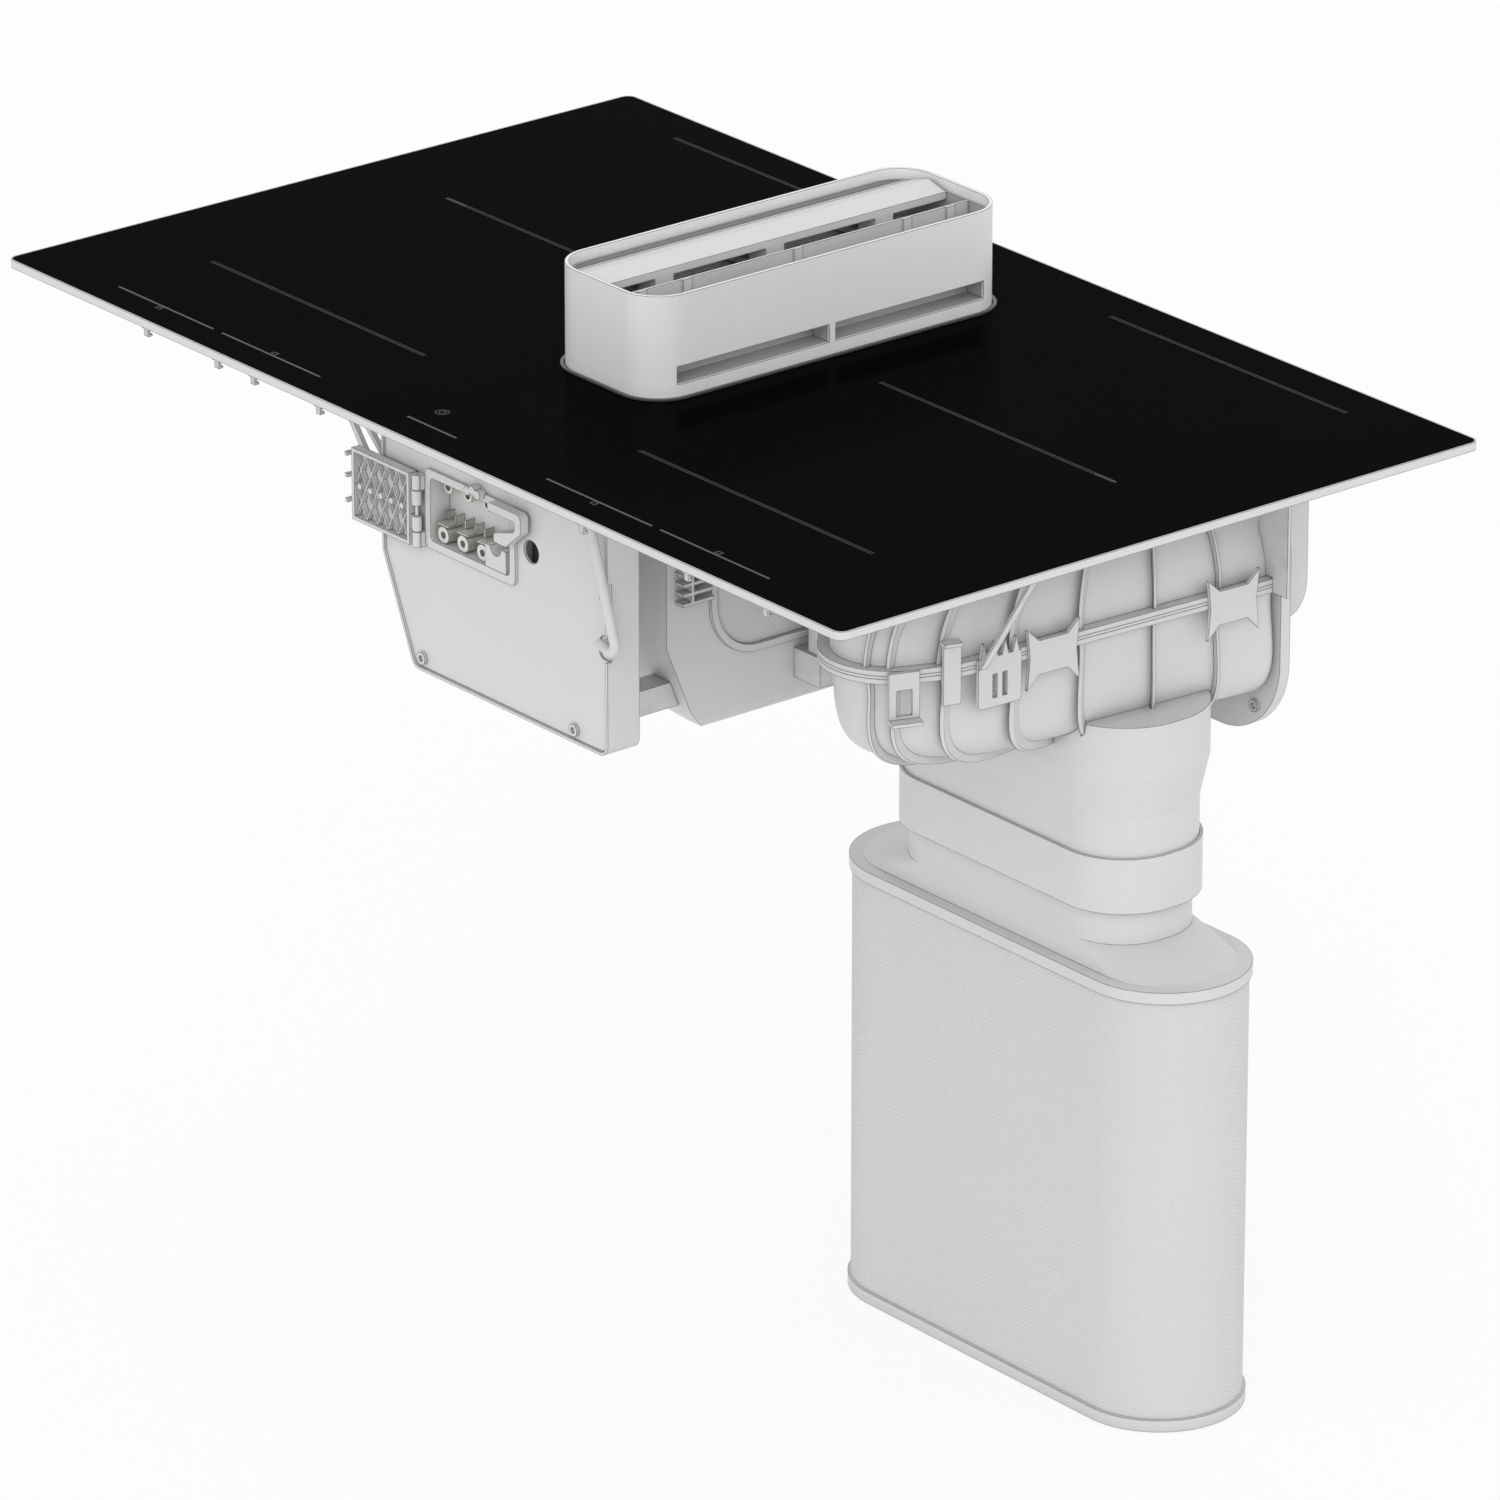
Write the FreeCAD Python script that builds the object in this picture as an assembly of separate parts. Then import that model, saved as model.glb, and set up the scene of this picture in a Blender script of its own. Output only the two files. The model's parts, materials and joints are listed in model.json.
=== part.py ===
"""Downdraft induction cooktop with a rising vent, its blower and its recirculation filter.

Millimetres. The origin is the middle of the worktop seat, under the glass rim.
+X is the user's right, +Y points to the back and +Z points up.
"""
import FreeCAD, Part
import math
import os

V = FreeCAD.Vector

# Fits
contact_gap = 0.3
running_gap = 0.05
beyond = 1.0

# Glass, edge trim and seal
glass_width = 840.0
glass_depth = 510.0
glass_thickness = 4.0
glass_corner = 7.0
trim_wall = 1.2
seal_thickness = 1.5
seal_width = 12.0
seal_inset = 5.0
sheet_margin = 4.5

# Rising vent and the ring it slides through
tower_width = 104.0
tower_length = 290.0
tower_corner = 27.0
tower_wall = 2.4
tower_rise = 68.0
tower_skirt = 69.5
tower_centre_y = 42.0
ring_gap = 0.8
ring_collar = 1.2
ring_lip = 2.4
ring_height = 1.2
ring_reach = 3.0
window_length = 248.0
window_height = 12.0
window_sill = 9.0
window_divider = 5.0
baffle_sheet = 1.5
baffle_ledge = 14.0
baffle_lean = 8.0
baffle_height = 22.0
baffle_web = 2.0
ledge_drop = 34.0
ledge_width = 4.0
ledge_thickness = 2.5

# Grille cassette
cassette_gap = 0.5
cassette_wall = 1.8
cassette_drop = 7.0
cross_bar_width = 15.0
cross_bar_height = 6.0
cross_bar_pitch = 89.0
blade_base_drop = 23.5
blade_drop = 6.5
blade_thickness = 1.8
far_blade_x = -38.2
near_blade_x = 15.9
cover_left_x = -36.8
cover_fold_x = -22.0
cover_right_x = -5.0
cover_fold_rise = 4.0
cover_thickness = 1.8
cover_lip = 5.0
grip_width = 7.0
grip_reach = 9.0
grip_thickness = 1.6
grip_hook = 3.0
mesh_thickness = 3.0
mesh_border = 7.0
mesh_rows = 4
mesh_columns = 22
mesh_web = 2.2

# Well under the glass
well_half_width = 90.0
well_front = -122.0
well_back = 209.0
well_wall = 2.5
well_depth = 210.0
well_left_depth = 128.0
well_lean_start = 140.0
well_lean = 28.0
well_keel_radius = 45.0
well_back_radius = 15.0
well_left_radius = 30.0
well_right_radius = 12.0
bead_front = -88.0
bead_back = 140.0
bead_top = 35.0
bead_bottom = 158.0
bead_corner = 38.0
bead_width = 5.0
bead_height = 2.5
comb_front = -115.0
comb_top = 90.0
comb_reach = 8.0
comb_pitch = 6.5
comb_fins = 4
comb_sheet = 2.4
comb_length = 20.0

# Lift drive and guides
gear_module = 1.5
pinion_teeth = 16
pinion_width = 12.0
pressure_angle = 20.0
gear_backlash = 0.15
rack_base = 5.0
rack_top_drop = 5.5
drive_front_y = -60.0
drive_back_y = 145.0
rack_end_room = 14.0
shaft_radius = 4.0
bearing_width = 9.0
bearing_offset = 15.0
bearing_half = 10.5
motor_radius = 15.0
motor_length = 38.0
motor_foot = 14.0
rod_radius = 5.0
rod_stand_off = 16.0
bush_half_width = 10.0
bush_height = 28.0
bush_drop = 27.5
boss_thickness = 10.0
boss_room = 3.0

# Base tray in three levels, and what it holds
tray_sheet = 1.2
tray_corner = 8.0
rim_half_width = 390.0
rim_half_depth = 235.0
rim_depth = 11.5
pan_half_width = 345.0
pan_front = -165.0
pan_back = 228.0
pan_depth = 27.0
bay_left = -335.0
bay_right = -97.0
bay_front = -160.0
bay_back = 222.0
bay_depth = 54.0
hook_xs = (-297.0, -222.0, -184.0, -116.0, 149.0, 251.0, 326.0)
hook_width = 9.0
hook_drop = 4.5
hook_depth = 7.0
hook_sheet = 1.6
shelf_rest = 6.0
carrier_inner_x = 96.0
carrier_sheet = 1.5
ferrite_height = 3.2
ferrite_width = 9.0
ferrite_length = 52.0
ferrite_count = 8
coil_height = 5.6
coil_inner_x = 114.0
coil_width = 212.0
coil_depth = 178.0
coil_hole = 60.0
coil_corner = 46.0
zone_split_y = 33.0
zone_half_gap = 95.0
board_thickness = 1.6
standoff_height = 4.0
standoff_radius = 3.0
standoff_inset = 6.0
front_board_depth = 200.0
back_board_width = 120.0
board_margin = 8.0
sink_width = 60.0
sink_depth = 90.0
sink_height = 18.0
sink_base = 3.0
sink_fins = 7
fin_thickness = 1.6
fan_size = 90.0
fan_height = 25.0
fan_rim = 2.5
fan_tip_gap = 1.5
fan_hub_radius = 16.0
fan_pin_radius = 3.0
fan_blades = 7
fan_blade_sheet = 1.6
fan_blade_angle = 32.0
touch_width = 660.0
touch_depth = 42.0
touch_margin = 5.0
touch_feet = 6

# Connection casing at the front
casing_front = -205.0
casing_back = -180.0
casing_left = -91.0
casing_right = 136.0
casing_bottom = 177.5
casing_knee = 107.0
casing_foot = 31.0
casing_wall = 2.0
casing_radius = 8.0
cover_inset = 1.5
cover_sheet = 2.0
cover_gap = 0.4
cover_bend_x = 95.0
cover_bend_drop = 99.0
cover_bend_shift = 26.0
cover_bend_back = 1.4
screw_head_radius = 4.2
screw_head_height = 2.4
screw_socket_radius = 1.9
screw_socket_depth = 1.4
screw_radius = 2.0
screw_length = 8.0
screw_inset = 8.5
screw_right_inset = 34.0
cable_hole_radius = 7.5
cable_hole_x = 59.0
cable_hole_drop = 64.7
notch_height = 15.5
notch_reach = 11.0
notch_radius = 5.0
notch_drops = (71.0, 106.5)
notch_boss = 6.0
notch_margin = 3.0
block_left = -46.0
block_width = 91.0
block_top = 39.0
block_height = 53.0
block_corner = 5.0
block_border = 4.0
block_lip = 2.0
block_recess = 15.0
block_wall = 1.6
post_first_x = -30.5
post_pitch = 19.8
upper_post_drop = 10.5
lower_post_drop = 41.5
upper_post_radius = 4.6
lower_post_radius = 5.6
post_hole = 2.2
upper_post_length = 9.0
lower_post_length = 13.0
post_floor = 2.0
link_sheet = 1.2
link_reach = 7.0
lobe_radius = 3.0
lobe_x = 7.0
lobe_length = 4.0
arm_left = 26.0
arm_right = 59.0
arm_width = 6.0
arm_drop = 25.0
arm_thickness = 6.5
clamp_height = 15.0
clamp_groove = 5.5
lid_width = 59.0
lid_height = 48.0
lid_drop = 5.0
lid_sheet = 1.9
lid_rib_height = 4.5
lid_rib = 1.4
lid_border = 2.6
lid_lattice = 5
lid_boss_radius = 2.2
lid_stand_off = 0.6
latch_reach = 7.0
latch_width = 2.6
hinge_reach = 3.5
hinge_radius = 3.0
hinge_pin_radius = 1.2
hinge_knuckle = 10.0
hinge_gap = 0.4
lead_radius = 3.25
lead_stand_off = 5.5
lead_top_inset = 13.5
lead_top_drop = 1.9
lead_bulge = 15.0
lead_turn = 5.0
lead_end_inset = 7.0
gusset_sheet = 3.0
gusset_back = 10.0
gusset_reach = 53.0
gusset_height = 52.5
gusset_bar = 5.0
rail_left = 62.0
rail_width = 18.0
rail_top = 168.0
rail_height = 17.0
rail_sheet = 2.0
rail_foot = 8.0

# Blower housing
blower_left = 112.0
blower_right = 306.0
blower_shoulder_x = 292.0
blower_shoulder_y = -60.0
blower_shoulder_radius = 80.0
blower_back = 195.0
blower_back_radius = 10.0
blower_nose_x = 262.0
blower_nose_y = -138.0
blower_nose_radius = 38.0
blower_cheek_y = 2.0
blower_cheek_radius = 60.0
parting_depth = 105.0
blower_top_depth = 45.0
blower_bottom_depth = 197.0
blower_wall = 2.5
flange_width = 7.0
flange_thickness = 3.5
fan_plate_thickness = 2.0
rib_height = 4.0
rib_thickness = 2.2
rib_hub_y = 160.0
rib_ys = (-120.0, -98.0, -66.0, -12.0, 39.0, 95.0, 144.0)
spout_front = 35.0
spout_length = 85.0
spout_top = 62.0
spout_height = 36.0
spout_wall = 2.0
spout_corner = 8.0
impeller_radius = 66.0
impeller_height = 42.0
impeller_blades = 13
impeller_blade_sheet = 1.8
impeller_blade_bend = 30.0
impeller_hub_radius = 14.0
impeller_disc = 2.0
impeller_clearance = 6.0
inlet_radius = 52.0
blower_motor_radius = 34.0
blower_motor_length = 40.0
motor_shaft_radius = 4.0
bowl_outlet_length = 90.0
bowl_outlet_depth = 70.0
bowl_outlet_corner = 30.0
rear_plate_thickness = 8.0
rear_plate_left = 104.0
rear_plate_right = 306.0
rear_plate_top = 40.0
rear_plate_bottom = 219.0
rear_plate_corner = 55.0
rear_housing_left = 120.0
rear_housing_right = 290.0
rear_housing_top = 32.0
rear_housing_bottom = 158.0
rear_housing_depth = 28.0
rear_housing_corner = 40.0
rear_housing_wall = 2.5
fitting_sheet = 2.5
latch_y = -31.0
latch_plate_width = 33.0
latch_drop = 24.0
latch_rise = 10.0
clip_y = -64.0
clip_width = 12.0
clip_drop = 16.0
clip_rise = 16.0
hook_y = -92.0
hook_plate_width = 20.0
hook_plate_drop = 24.0
star_ys = (10.0, 150.0)
star_half = 20.0
strap_y = -52.0
strap_run = 72.0
strap_width = 6.0
strap_sheet = 2.0
hanger_left = 299.0
hanger_right = 326.0
hanger_y = 183.0
hanger_sheet = 2.5
bracket_right = 116.0
bracket_front = -20.0
bracket_back = -2.0
bracket_top = 164.0
bracket_bottom = 184.0
bracket_arm = 14.0

# Outlet, collar and filter
outlet_x = 205.0
outlet_y = 94.0
collar_length = 236.5
collar_depth = 96.5
collar_corner = 44.0
collar_wall = 2.0
collar_top = 257.5
collar_height = 37.0
collar_gap = 0.25
outlet_wall = 2.3
shoulder_margin = 6.0
shoulder_top = 168.0
shoulder_bottom = 203.0
taper_bottom = 232.0
spigot_reach = 20.0
neck_inset = 6.0
neck_wall = 2.2
neck_gap = 0.3
filter_top = 331.5
filter_height = 301.0
filter_length = 332.0
filter_depth = 112.0
filter_cap_height = 8.0
filter_cap_lip = 2.0
filter_step_inset = 9.0
filter_step_height = 14.0
filter_sleeve_wall = 2.0
media_thickness = 22.0

# Places worked out from the sizes above
glass_bottom = seal_thickness
glass_top = seal_thickness + glass_thickness
tower_top = glass_top + tower_rise
tower_bottom = glass_top - tower_skirt
tower_side = tower_width / 2
tower_inner = tower_side - tower_wall
rim_floor = tray_sheet - rim_depth
bay_floor = tray_sheet - bay_depth
carrier_top = rim_floor + carrier_sheet
parting_high = -parting_depth + fan_plate_thickness / 2
parting_low = -parting_depth - fan_plate_thickness / 2
flange_high = parting_high + flange_thickness
flange_low = parting_low - flange_thickness


def flat_at(z):
    """Point maker for outlines that lie flat at height z."""
    return lambda a, b: V(a, b, z)


def upright_at(y):
    """Point maker for outlines in the XZ plane at depth y."""
    return lambda a, b: V(a, y, b)


def sideways_at(x):
    """Point maker for outlines in the YZ plane at width x."""
    return lambda a, b: V(x, a, b)


def offset_corners(corners, grow):
    """Corners of an outline moved outward by an even amount."""
    count = len(corners)
    area = 0.0
    for index in range(count):
        a, b = corners[index], corners[(index + 1) % count]
        area += a[0] * b[1] - b[0] * a[1]
    turn = 1 if area > 0 else -1
    lines = []
    for index in range(count):
        a, b = corners[index], corners[(index + 1) % count]
        length = math.hypot(b[0] - a[0], b[1] - a[1])
        dx, dy = (b[0] - a[0]) / length, (b[1] - a[1]) / length
        lines.append((a[0] + turn * dy * grow, a[1] - turn * dx * grow, dx, dy))
    moved = []
    for index in range(count):
        px, py, pdx, pdy = lines[index - 1]
        qx, qy, qdx, qdy = lines[index]
        cross = pdx * qdy - pdy * qdx
        share = ((qx - px) * qdy - (qy - py) * qdx) / cross
        radius = corners[index][2]
        if radius > 0:
            radius += grow if cross * turn > 0 else -grow
        moved.append((px + pdx * share, py + pdy * share, max(radius, 0)))
    return moved


def corner_turn(before, corner, after):
    """Tangent points and arc middle of one rounded corner of an outline."""
    a, b, radius = corner
    if radius <= 0:
        return (a, b), None, (a, b)
    back_length = math.hypot(before[0] - a, before[1] - b)
    ahead_length = math.hypot(after[0] - a, after[1] - b)
    back = ((before[0] - a) / back_length, (before[1] - b) / back_length)
    ahead = ((after[0] - a) / ahead_length, (after[1] - b) / ahead_length)
    half = math.acos(max(-1.0, min(1.0, back[0] * ahead[0] + back[1] * ahead[1]))) / 2
    run = radius / math.tan(half)
    reach = radius / math.sin(half) - radius
    bisector = (back[0] + ahead[0], back[1] + ahead[1])
    size = math.hypot(bisector[0], bisector[1])
    enter = (a + back[0] * run, b + back[1] * run)
    leave = (a + ahead[0] * run, b + ahead[1] * run)
    middle = (a + bisector[0] / size * reach, b + bisector[1] / size * reach)
    return enter, middle, leave


def outline(corners, place):
    """Closed wire through corners given as (a, b, radius)."""
    count = len(corners)
    turns = []
    for index in range(count):
        turns.append(corner_turn(corners[index - 1], corners[index], corners[(index + 1) % count]))
    edges = []
    for index, (enter, middle, leave) in enumerate(turns):
        if middle is not None:
            edges.append(Part.Arc(place(*enter), place(*middle), place(*leave)).toShape())
        follow = turns[(index + 1) % count][0]
        if math.hypot(follow[0] - leave[0], follow[1] - leave[1]) > 1e-6:
            edges.append(Part.LineSegment(place(*leave), place(*follow)).toShape())
    return Part.Wire(edges)


def prism(corners, place, travel):
    """Solid swept straight from a closed outline."""
    return Part.Face(outline(corners, place)).extrude(travel)


def sharp(points):
    """Corners without rounding."""
    return [(a, b, 0) for a, b in points]


def rectangle(cx, cy, width, depth, radius):
    """Corners of a rounded rectangle about a centre."""
    radius = min(radius, width / 2, depth / 2)
    return [
        (cx - width / 2, cy - depth / 2, radius),
        (cx + width / 2, cy - depth / 2, radius),
        (cx + width / 2, cy + depth / 2, radius),
        (cx - width / 2, cy + depth / 2, radius),
    ]


def span(low_a, high_a, low_b, high_b, radius):
    """Corners of a rounded rectangle between its edges."""
    return rectangle((low_a + high_a) / 2, (low_b + high_b) / 2, high_a - low_a, high_b - low_b, radius)


def block(x0, x1, y0, y1, z0, z1):
    """Box between two corners."""
    return Part.makeBox(x1 - x0, y1 - y0, z1 - z0, V(x0, y0, z0))


def slab(cx, cy, width, depth, radius, z0, z1):
    """Rounded rectangle raised from z0 to z1."""
    return prism(rectangle(cx, cy, width, depth, radius), flat_at(z0), V(0, 0, z1 - z0))


def tube(cx, cy, width, depth, radius, wall, z0, z1):
    """Upright rounded tube, measured outside, with an even wall."""
    outer = slab(cx, cy, width, depth, radius, z0, z1)
    inner = slab(cx, cy, width - 2 * wall, depth - 2 * wall, max(radius - wall, 0), z0 - beyond, z1 + beyond)
    return outer.cut(inner)


def post(x, y, radius, z0, z1):
    """Upright round post."""
    return Part.makeCylinder(radius, z1 - z0, V(x, y, z0), V(0, 0, 1))


def bar_y(x, z, radius, y0, y1):
    """Round bar along Y."""
    return Part.makeCylinder(radius, y1 - y0, V(x, y0, z), V(0, 1, 0))


def join(shapes):
    """One solid from touching or overlapping shapes."""
    if len(shapes) == 1:
        return shapes[0]
    return shapes[0].fuse(shapes[1:]).removeSplitter()


def turned(shape, degrees, x, y):
    """Copy of a shape turned about an upright axis."""
    copy = shape.copy()
    copy.rotate(V(x, y, 0), V(0, 0, 1), degrees)
    return copy


def mirrored_x(shape):
    """Copy of a shape on the other side of the YZ plane."""
    return shape.mirror(V(0, 0, 0), V(1, 0, 0))


def largest(shape):
    """Biggest solid of a cut shape, without its offcuts."""
    return max(shape.Solids, key=lambda solid: solid.Volume)


parts = {}


def keep(name, *shapes):
    """Store one node, made of one solid or of several separate ones."""
    solids = []
    for shape in shapes:
        solids += shape.Solids
    parts[name] = solids


# Glass, trim, seal and the ring around the vent
def make_glass():
    plate = slab(0, 0, glass_width - 2 * trim_wall, glass_depth - 2 * trim_wall,
                 glass_corner - trim_wall, glass_bottom, glass_top)
    room = ring_gap + ring_collar
    opening = slab(0, tower_centre_y, tower_width + 2 * room, tower_length + 2 * room,
                   tower_corner + room, glass_bottom - beyond, glass_top + beyond)
    keep("glass_top", plate.cut(opening))
    keep("edge_trim", tube(0, 0, glass_width, glass_depth, glass_corner, trim_wall, 0, glass_top))
    keep("worktop_seal", tube(0, 0, glass_width - 2 * seal_inset, glass_depth - 2 * seal_inset,
                              glass_corner, seal_width, 0, seal_thickness))
    lip_room = ring_gap + ring_lip
    lip = tube(0, tower_centre_y, tower_width + 2 * lip_room, tower_length + 2 * lip_room,
               tower_corner + lip_room, ring_lip, glass_top, glass_top + ring_height)
    collar = tube(0, tower_centre_y, tower_width + 2 * room, tower_length + 2 * room,
                  tower_corner + room, ring_collar, glass_bottom - ring_reach, glass_top)
    keep("tower_trim_ring", join([lip, collar]))


# Base tray with its coil pan and its electronics bay
def tray_levels(shrink, lift):
    """Stacked body of the tray, or its hollow when shrunk by the sheet."""
    return join([
        prism(span(-rim_half_width + shrink, rim_half_width - shrink, -rim_half_depth + shrink,
                   rim_half_depth - shrink, tray_corner - shrink),
              flat_at(shrink - rim_depth), V(0, 0, glass_bottom + lift + rim_depth - shrink)),
        prism(span(-pan_half_width + shrink, pan_half_width - shrink, pan_front + shrink, pan_back - shrink,
                   tray_corner - shrink), flat_at(shrink - pan_depth), V(0, 0, pan_depth - rim_depth)),
        prism(span(bay_left + shrink, bay_right - shrink, bay_front + shrink, bay_back - shrink,
                   tray_corner - shrink), flat_at(shrink - bay_depth), V(0, 0, bay_depth - pan_depth)),
    ])


def make_tray():
    well_mid = (well_front + well_back) / 2
    hole = slab(0, well_mid, 2 * (well_half_width + contact_gap), well_back - well_front + 2 * contact_gap, 0,
                -pan_depth - beyond, glass_bottom)
    keep("base_tray", tray_levels(0, 0).cut(tray_levels(tray_sheet, beyond)).cut(hole))
    hooks = []
    for x in hook_xs:
        front = -rim_half_depth
        foot = block(x - hook_width / 2, x + hook_width / 2, front, front + hook_depth,
                     -rim_depth - hook_sheet, -rim_depth)
        toe = block(x - hook_width / 4, x + hook_width / 4, front, front + hook_sheet,
                    -rim_depth - hook_drop, -rim_depth - hook_sheet)
        heel = block(x - hook_width / 4, x + hook_width / 4, front, front + hook_depth / 2,
                     -rim_depth - hook_drop - hook_sheet, -rim_depth - hook_drop)
        hooks.append(join([foot, toe, heel]))
    keep("tray_hooks", *hooks)


# Coils on their carriers
def make_heaters():
    carrier_outer_x = pan_half_width + shelf_rest
    carrier_front = pan_front - shelf_rest
    carrier_back = min(pan_back + shelf_rest, rim_half_depth - tray_sheet - contact_gap)
    coil_bottom = carrier_top + ferrite_height
    coil_top = coil_bottom + coil_height
    footprint = span(carrier_inner_x, carrier_outer_x, carrier_front, carrier_back, tray_corner)
    carrier = prism(footprint, flat_at(rim_floor), V(0, 0, carrier_sheet))
    sheet_back = glass_depth / 2 - seal_inset - seal_width - sheet_margin
    cover = span(carrier_inner_x, carrier_outer_x, carrier_front, sheet_back, tray_corner)
    sheet = prism(cover, flat_at(coil_top), V(0, 0, glass_bottom - contact_gap - coil_top))
    x = coil_inner_x + coil_width / 2
    coils = []
    bars = []
    for row in (-1, 1):
        y = zone_split_y + row * zone_half_gap
        ring = slab(x, y, coil_width, coil_depth, coil_corner, coil_bottom, coil_top)
        eye = slab(x, y, coil_hole, coil_hole, coil_hole / 2, coil_bottom - beyond, coil_top + beyond)
        coils.append(ring.cut(eye))
        for step in range(ferrite_count):
            bar = block(x + coil_hole / 2, x + coil_hole / 2 + ferrite_length, y - ferrite_width / 2,
                        y + ferrite_width / 2, carrier_top, coil_bottom)
            bars.append(turned(bar, 360 / ferrite_count * (step + 0.5), x, y))
    keep("coil_carriers", carrier, mirrored_x(carrier))
    keep("insulation_sheets", sheet, mirrored_x(sheet))
    keep("induction_coils", *coils, *[mirrored_x(coil) for coil in coils])
    keep("ferrite_bars", *bars, *[mirrored_x(bar) for bar in bars])


# Power electronics in the bay, touch board at the front
def circuit_board(x0, x1, y0, y1, floor):
    """Board on a post at each corner."""
    z = floor + standoff_height
    pieces = [block(x0, x1, y0, y1, z, z + board_thickness)]
    for x in (x0 + standoff_inset, x1 - standoff_inset):
        for y in (y0 + standoff_inset, y1 - standoff_inset):
            pieces.append(post(x, y, standoff_radius, floor, z))
    return join(pieces)


def heat_sink(x, y, z):
    """Finned block about a middle, standing on height z."""
    pieces = [block(x - sink_width / 2, x + sink_width / 2, y - sink_depth / 2, y + sink_depth / 2, z,
                    z + sink_base)]
    pitch = (sink_width - fin_thickness) / (sink_fins - 1)
    for index in range(sink_fins):
        left = x - sink_width / 2 + index * pitch
        pieces.append(block(left, left + fin_thickness, y - sink_depth / 2, y + sink_depth / 2, z, z + sink_height))
    return join(pieces)


def make_boards():
    left = bay_left + board_margin
    right = bay_right - board_margin
    front = bay_front + board_margin
    back = bay_back - board_margin
    front_end = front + front_board_depth
    back_start = front_end + board_margin
    keep("power_boards", circuit_board(left, right, front, front_end, bay_floor),
         circuit_board(left, left + back_board_width, back_start, back, bay_floor))
    board_top = bay_floor + standoff_height + board_thickness
    front_mid = (front + front_end) / 2
    spread = (right - left) / 4
    keep("heat_sinks", heat_sink((left + right) / 2 - spread, front_mid, board_top),
         heat_sink((left + right) / 2 + spread, front_mid, board_top),
         heat_sink(left + back_board_width / 2, (back_start + back) / 2, board_top))
    touch_front = -rim_half_depth + tray_sheet + touch_margin
    z = rim_floor + standoff_height
    pieces = [block(-touch_width / 2, touch_width / 2, touch_front, touch_front + touch_depth, z,
                    z + board_thickness)]
    for index in range(touch_feet):
        x = touch_width * ((index + 0.5) / touch_feet - 0.5)
        pieces.append(post(x, touch_front + touch_depth / 2, standoff_radius, rim_floor, z))
    keep("touch_board", join(pieces))
    fan_room_left = left + back_board_width
    make_cooling_fan((fan_room_left + bay_right) / 2, (back_start + back) / 2)


def make_cooling_fan(x, y):
    floor = bay_floor
    top = floor + fan_height
    frame = slab(x, y, fan_size, fan_size, 3 * fan_rim, floor, top)
    duct_radius = fan_size / 2 - fan_rim
    frame = frame.cut(post(x, y, duct_radius, floor + fan_rim, top + beyond))
    inlet = post(x, y, duct_radius - 2 * fan_rim, floor - beyond, floor + 2 * fan_rim)
    inlet = inlet.cut(post(x, y, fan_hub_radius, floor - 2 * beyond, floor + 3 * fan_rim))
    for degrees in (0, 60, 120):
        spoke = block(x - fan_size, x + fan_size, y - fan_rim, y + fan_rim, floor - 2 * beyond, floor + 3 * fan_rim)
        inlet = inlet.cut(turned(spoke, degrees, x, y))
    pin_top = top - 2 * fan_rim
    pin = post(x, y, fan_pin_radius, floor, pin_top)
    keep("cooling_fan_frame", join([frame.cut(inlet), pin]))
    hub_bottom = floor + fan_rim + contact_gap
    hub_top = pin_top + contact_gap + fan_rim
    pieces = [post(x, y, fan_hub_radius, hub_bottom, hub_top)]
    tip = duct_radius - fan_tip_gap
    middle = (hub_bottom + hub_top) / 2
    swept = post(x, y, tip, hub_bottom + contact_gap, hub_top)
    for index in range(fan_blades):
        blade = block(x + fan_hub_radius - fan_rim, x + tip + beyond, y - fan_blade_sheet / 2,
                      y + fan_blade_sheet / 2, hub_bottom, hub_top)
        blade.rotate(V(x, y, middle), V(1, 0, 0), fan_blade_angle)
        pieces.append(turned(blade, 360 / fan_blades * index, x, y).common(swept))
    bore = post(x, y, fan_pin_radius + running_gap, hub_bottom - beyond, pin_top + contact_gap)
    keep("cooling_fan_rotor", join(pieces).cut(bore))


# Well under the vent, with its spout towards the blower
def well_solid(grow, top):
    """Body of the well, grown or shrunk evenly, open upward to a height."""
    long_profile = offset_corners([
        (well_front, top - grow, 0),
        (well_front, -well_lean_start, 0),
        (well_front + well_lean, -well_depth, well_keel_radius),
        (well_back, -well_depth, well_back_radius),
        (well_back, top - grow, 0),
    ], grow)
    cross_profile = offset_corners([
        (-well_half_width, top - grow, 0),
        (-well_half_width, -well_left_depth, well_left_radius),
        (well_half_width, -well_depth, well_right_radius),
        (well_half_width, top - grow, 0),
    ], grow)
    half = well_half_width + abs(grow) + beyond
    along = prism(long_profile, sideways_at(-half), V(2 * half, 0, 0))
    reach = abs(grow) + beyond
    across = prism(cross_profile, upright_at(well_front - reach), V(0, well_back - well_front + 2 * reach, 0))
    return along.common(across)


rod_x = -tower_side - rod_stand_off
bush_top = glass_top - bush_drop
boss_top = bush_top - bush_height - tower_rise - boss_room
head_bottom = bush_top + boss_room


def spout_section(shrink, x0, x1):
    """Body of the spout between two widths."""
    corners = span(spout_front + shrink, spout_front + spout_length - shrink,
                   -spout_top - spout_height + shrink, -spout_top - shrink, spout_corner - shrink)
    return prism(corners, sideways_at(x0), V(x1 - x0, 0, 0))


def bead_loop(grow):
    """Raised loop on the right wall of the well."""
    face = well_half_width
    outer = prism(span(bead_front - grow, bead_back + grow, -bead_bottom - grow, -bead_top + grow,
                       bead_corner + grow), sideways_at(face - well_wall / 2),
                  V(well_wall / 2 + bead_height + grow, 0, 0))
    inset = bead_width + grow
    inner = prism(span(bead_front + inset, bead_back - inset, -bead_bottom + inset, -bead_top - inset,
                       bead_corner - inset), sideways_at(face - well_wall),
                  V(2 * well_wall + bead_height + grow, 0, 0))
    return outer.cut(inner)


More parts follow.
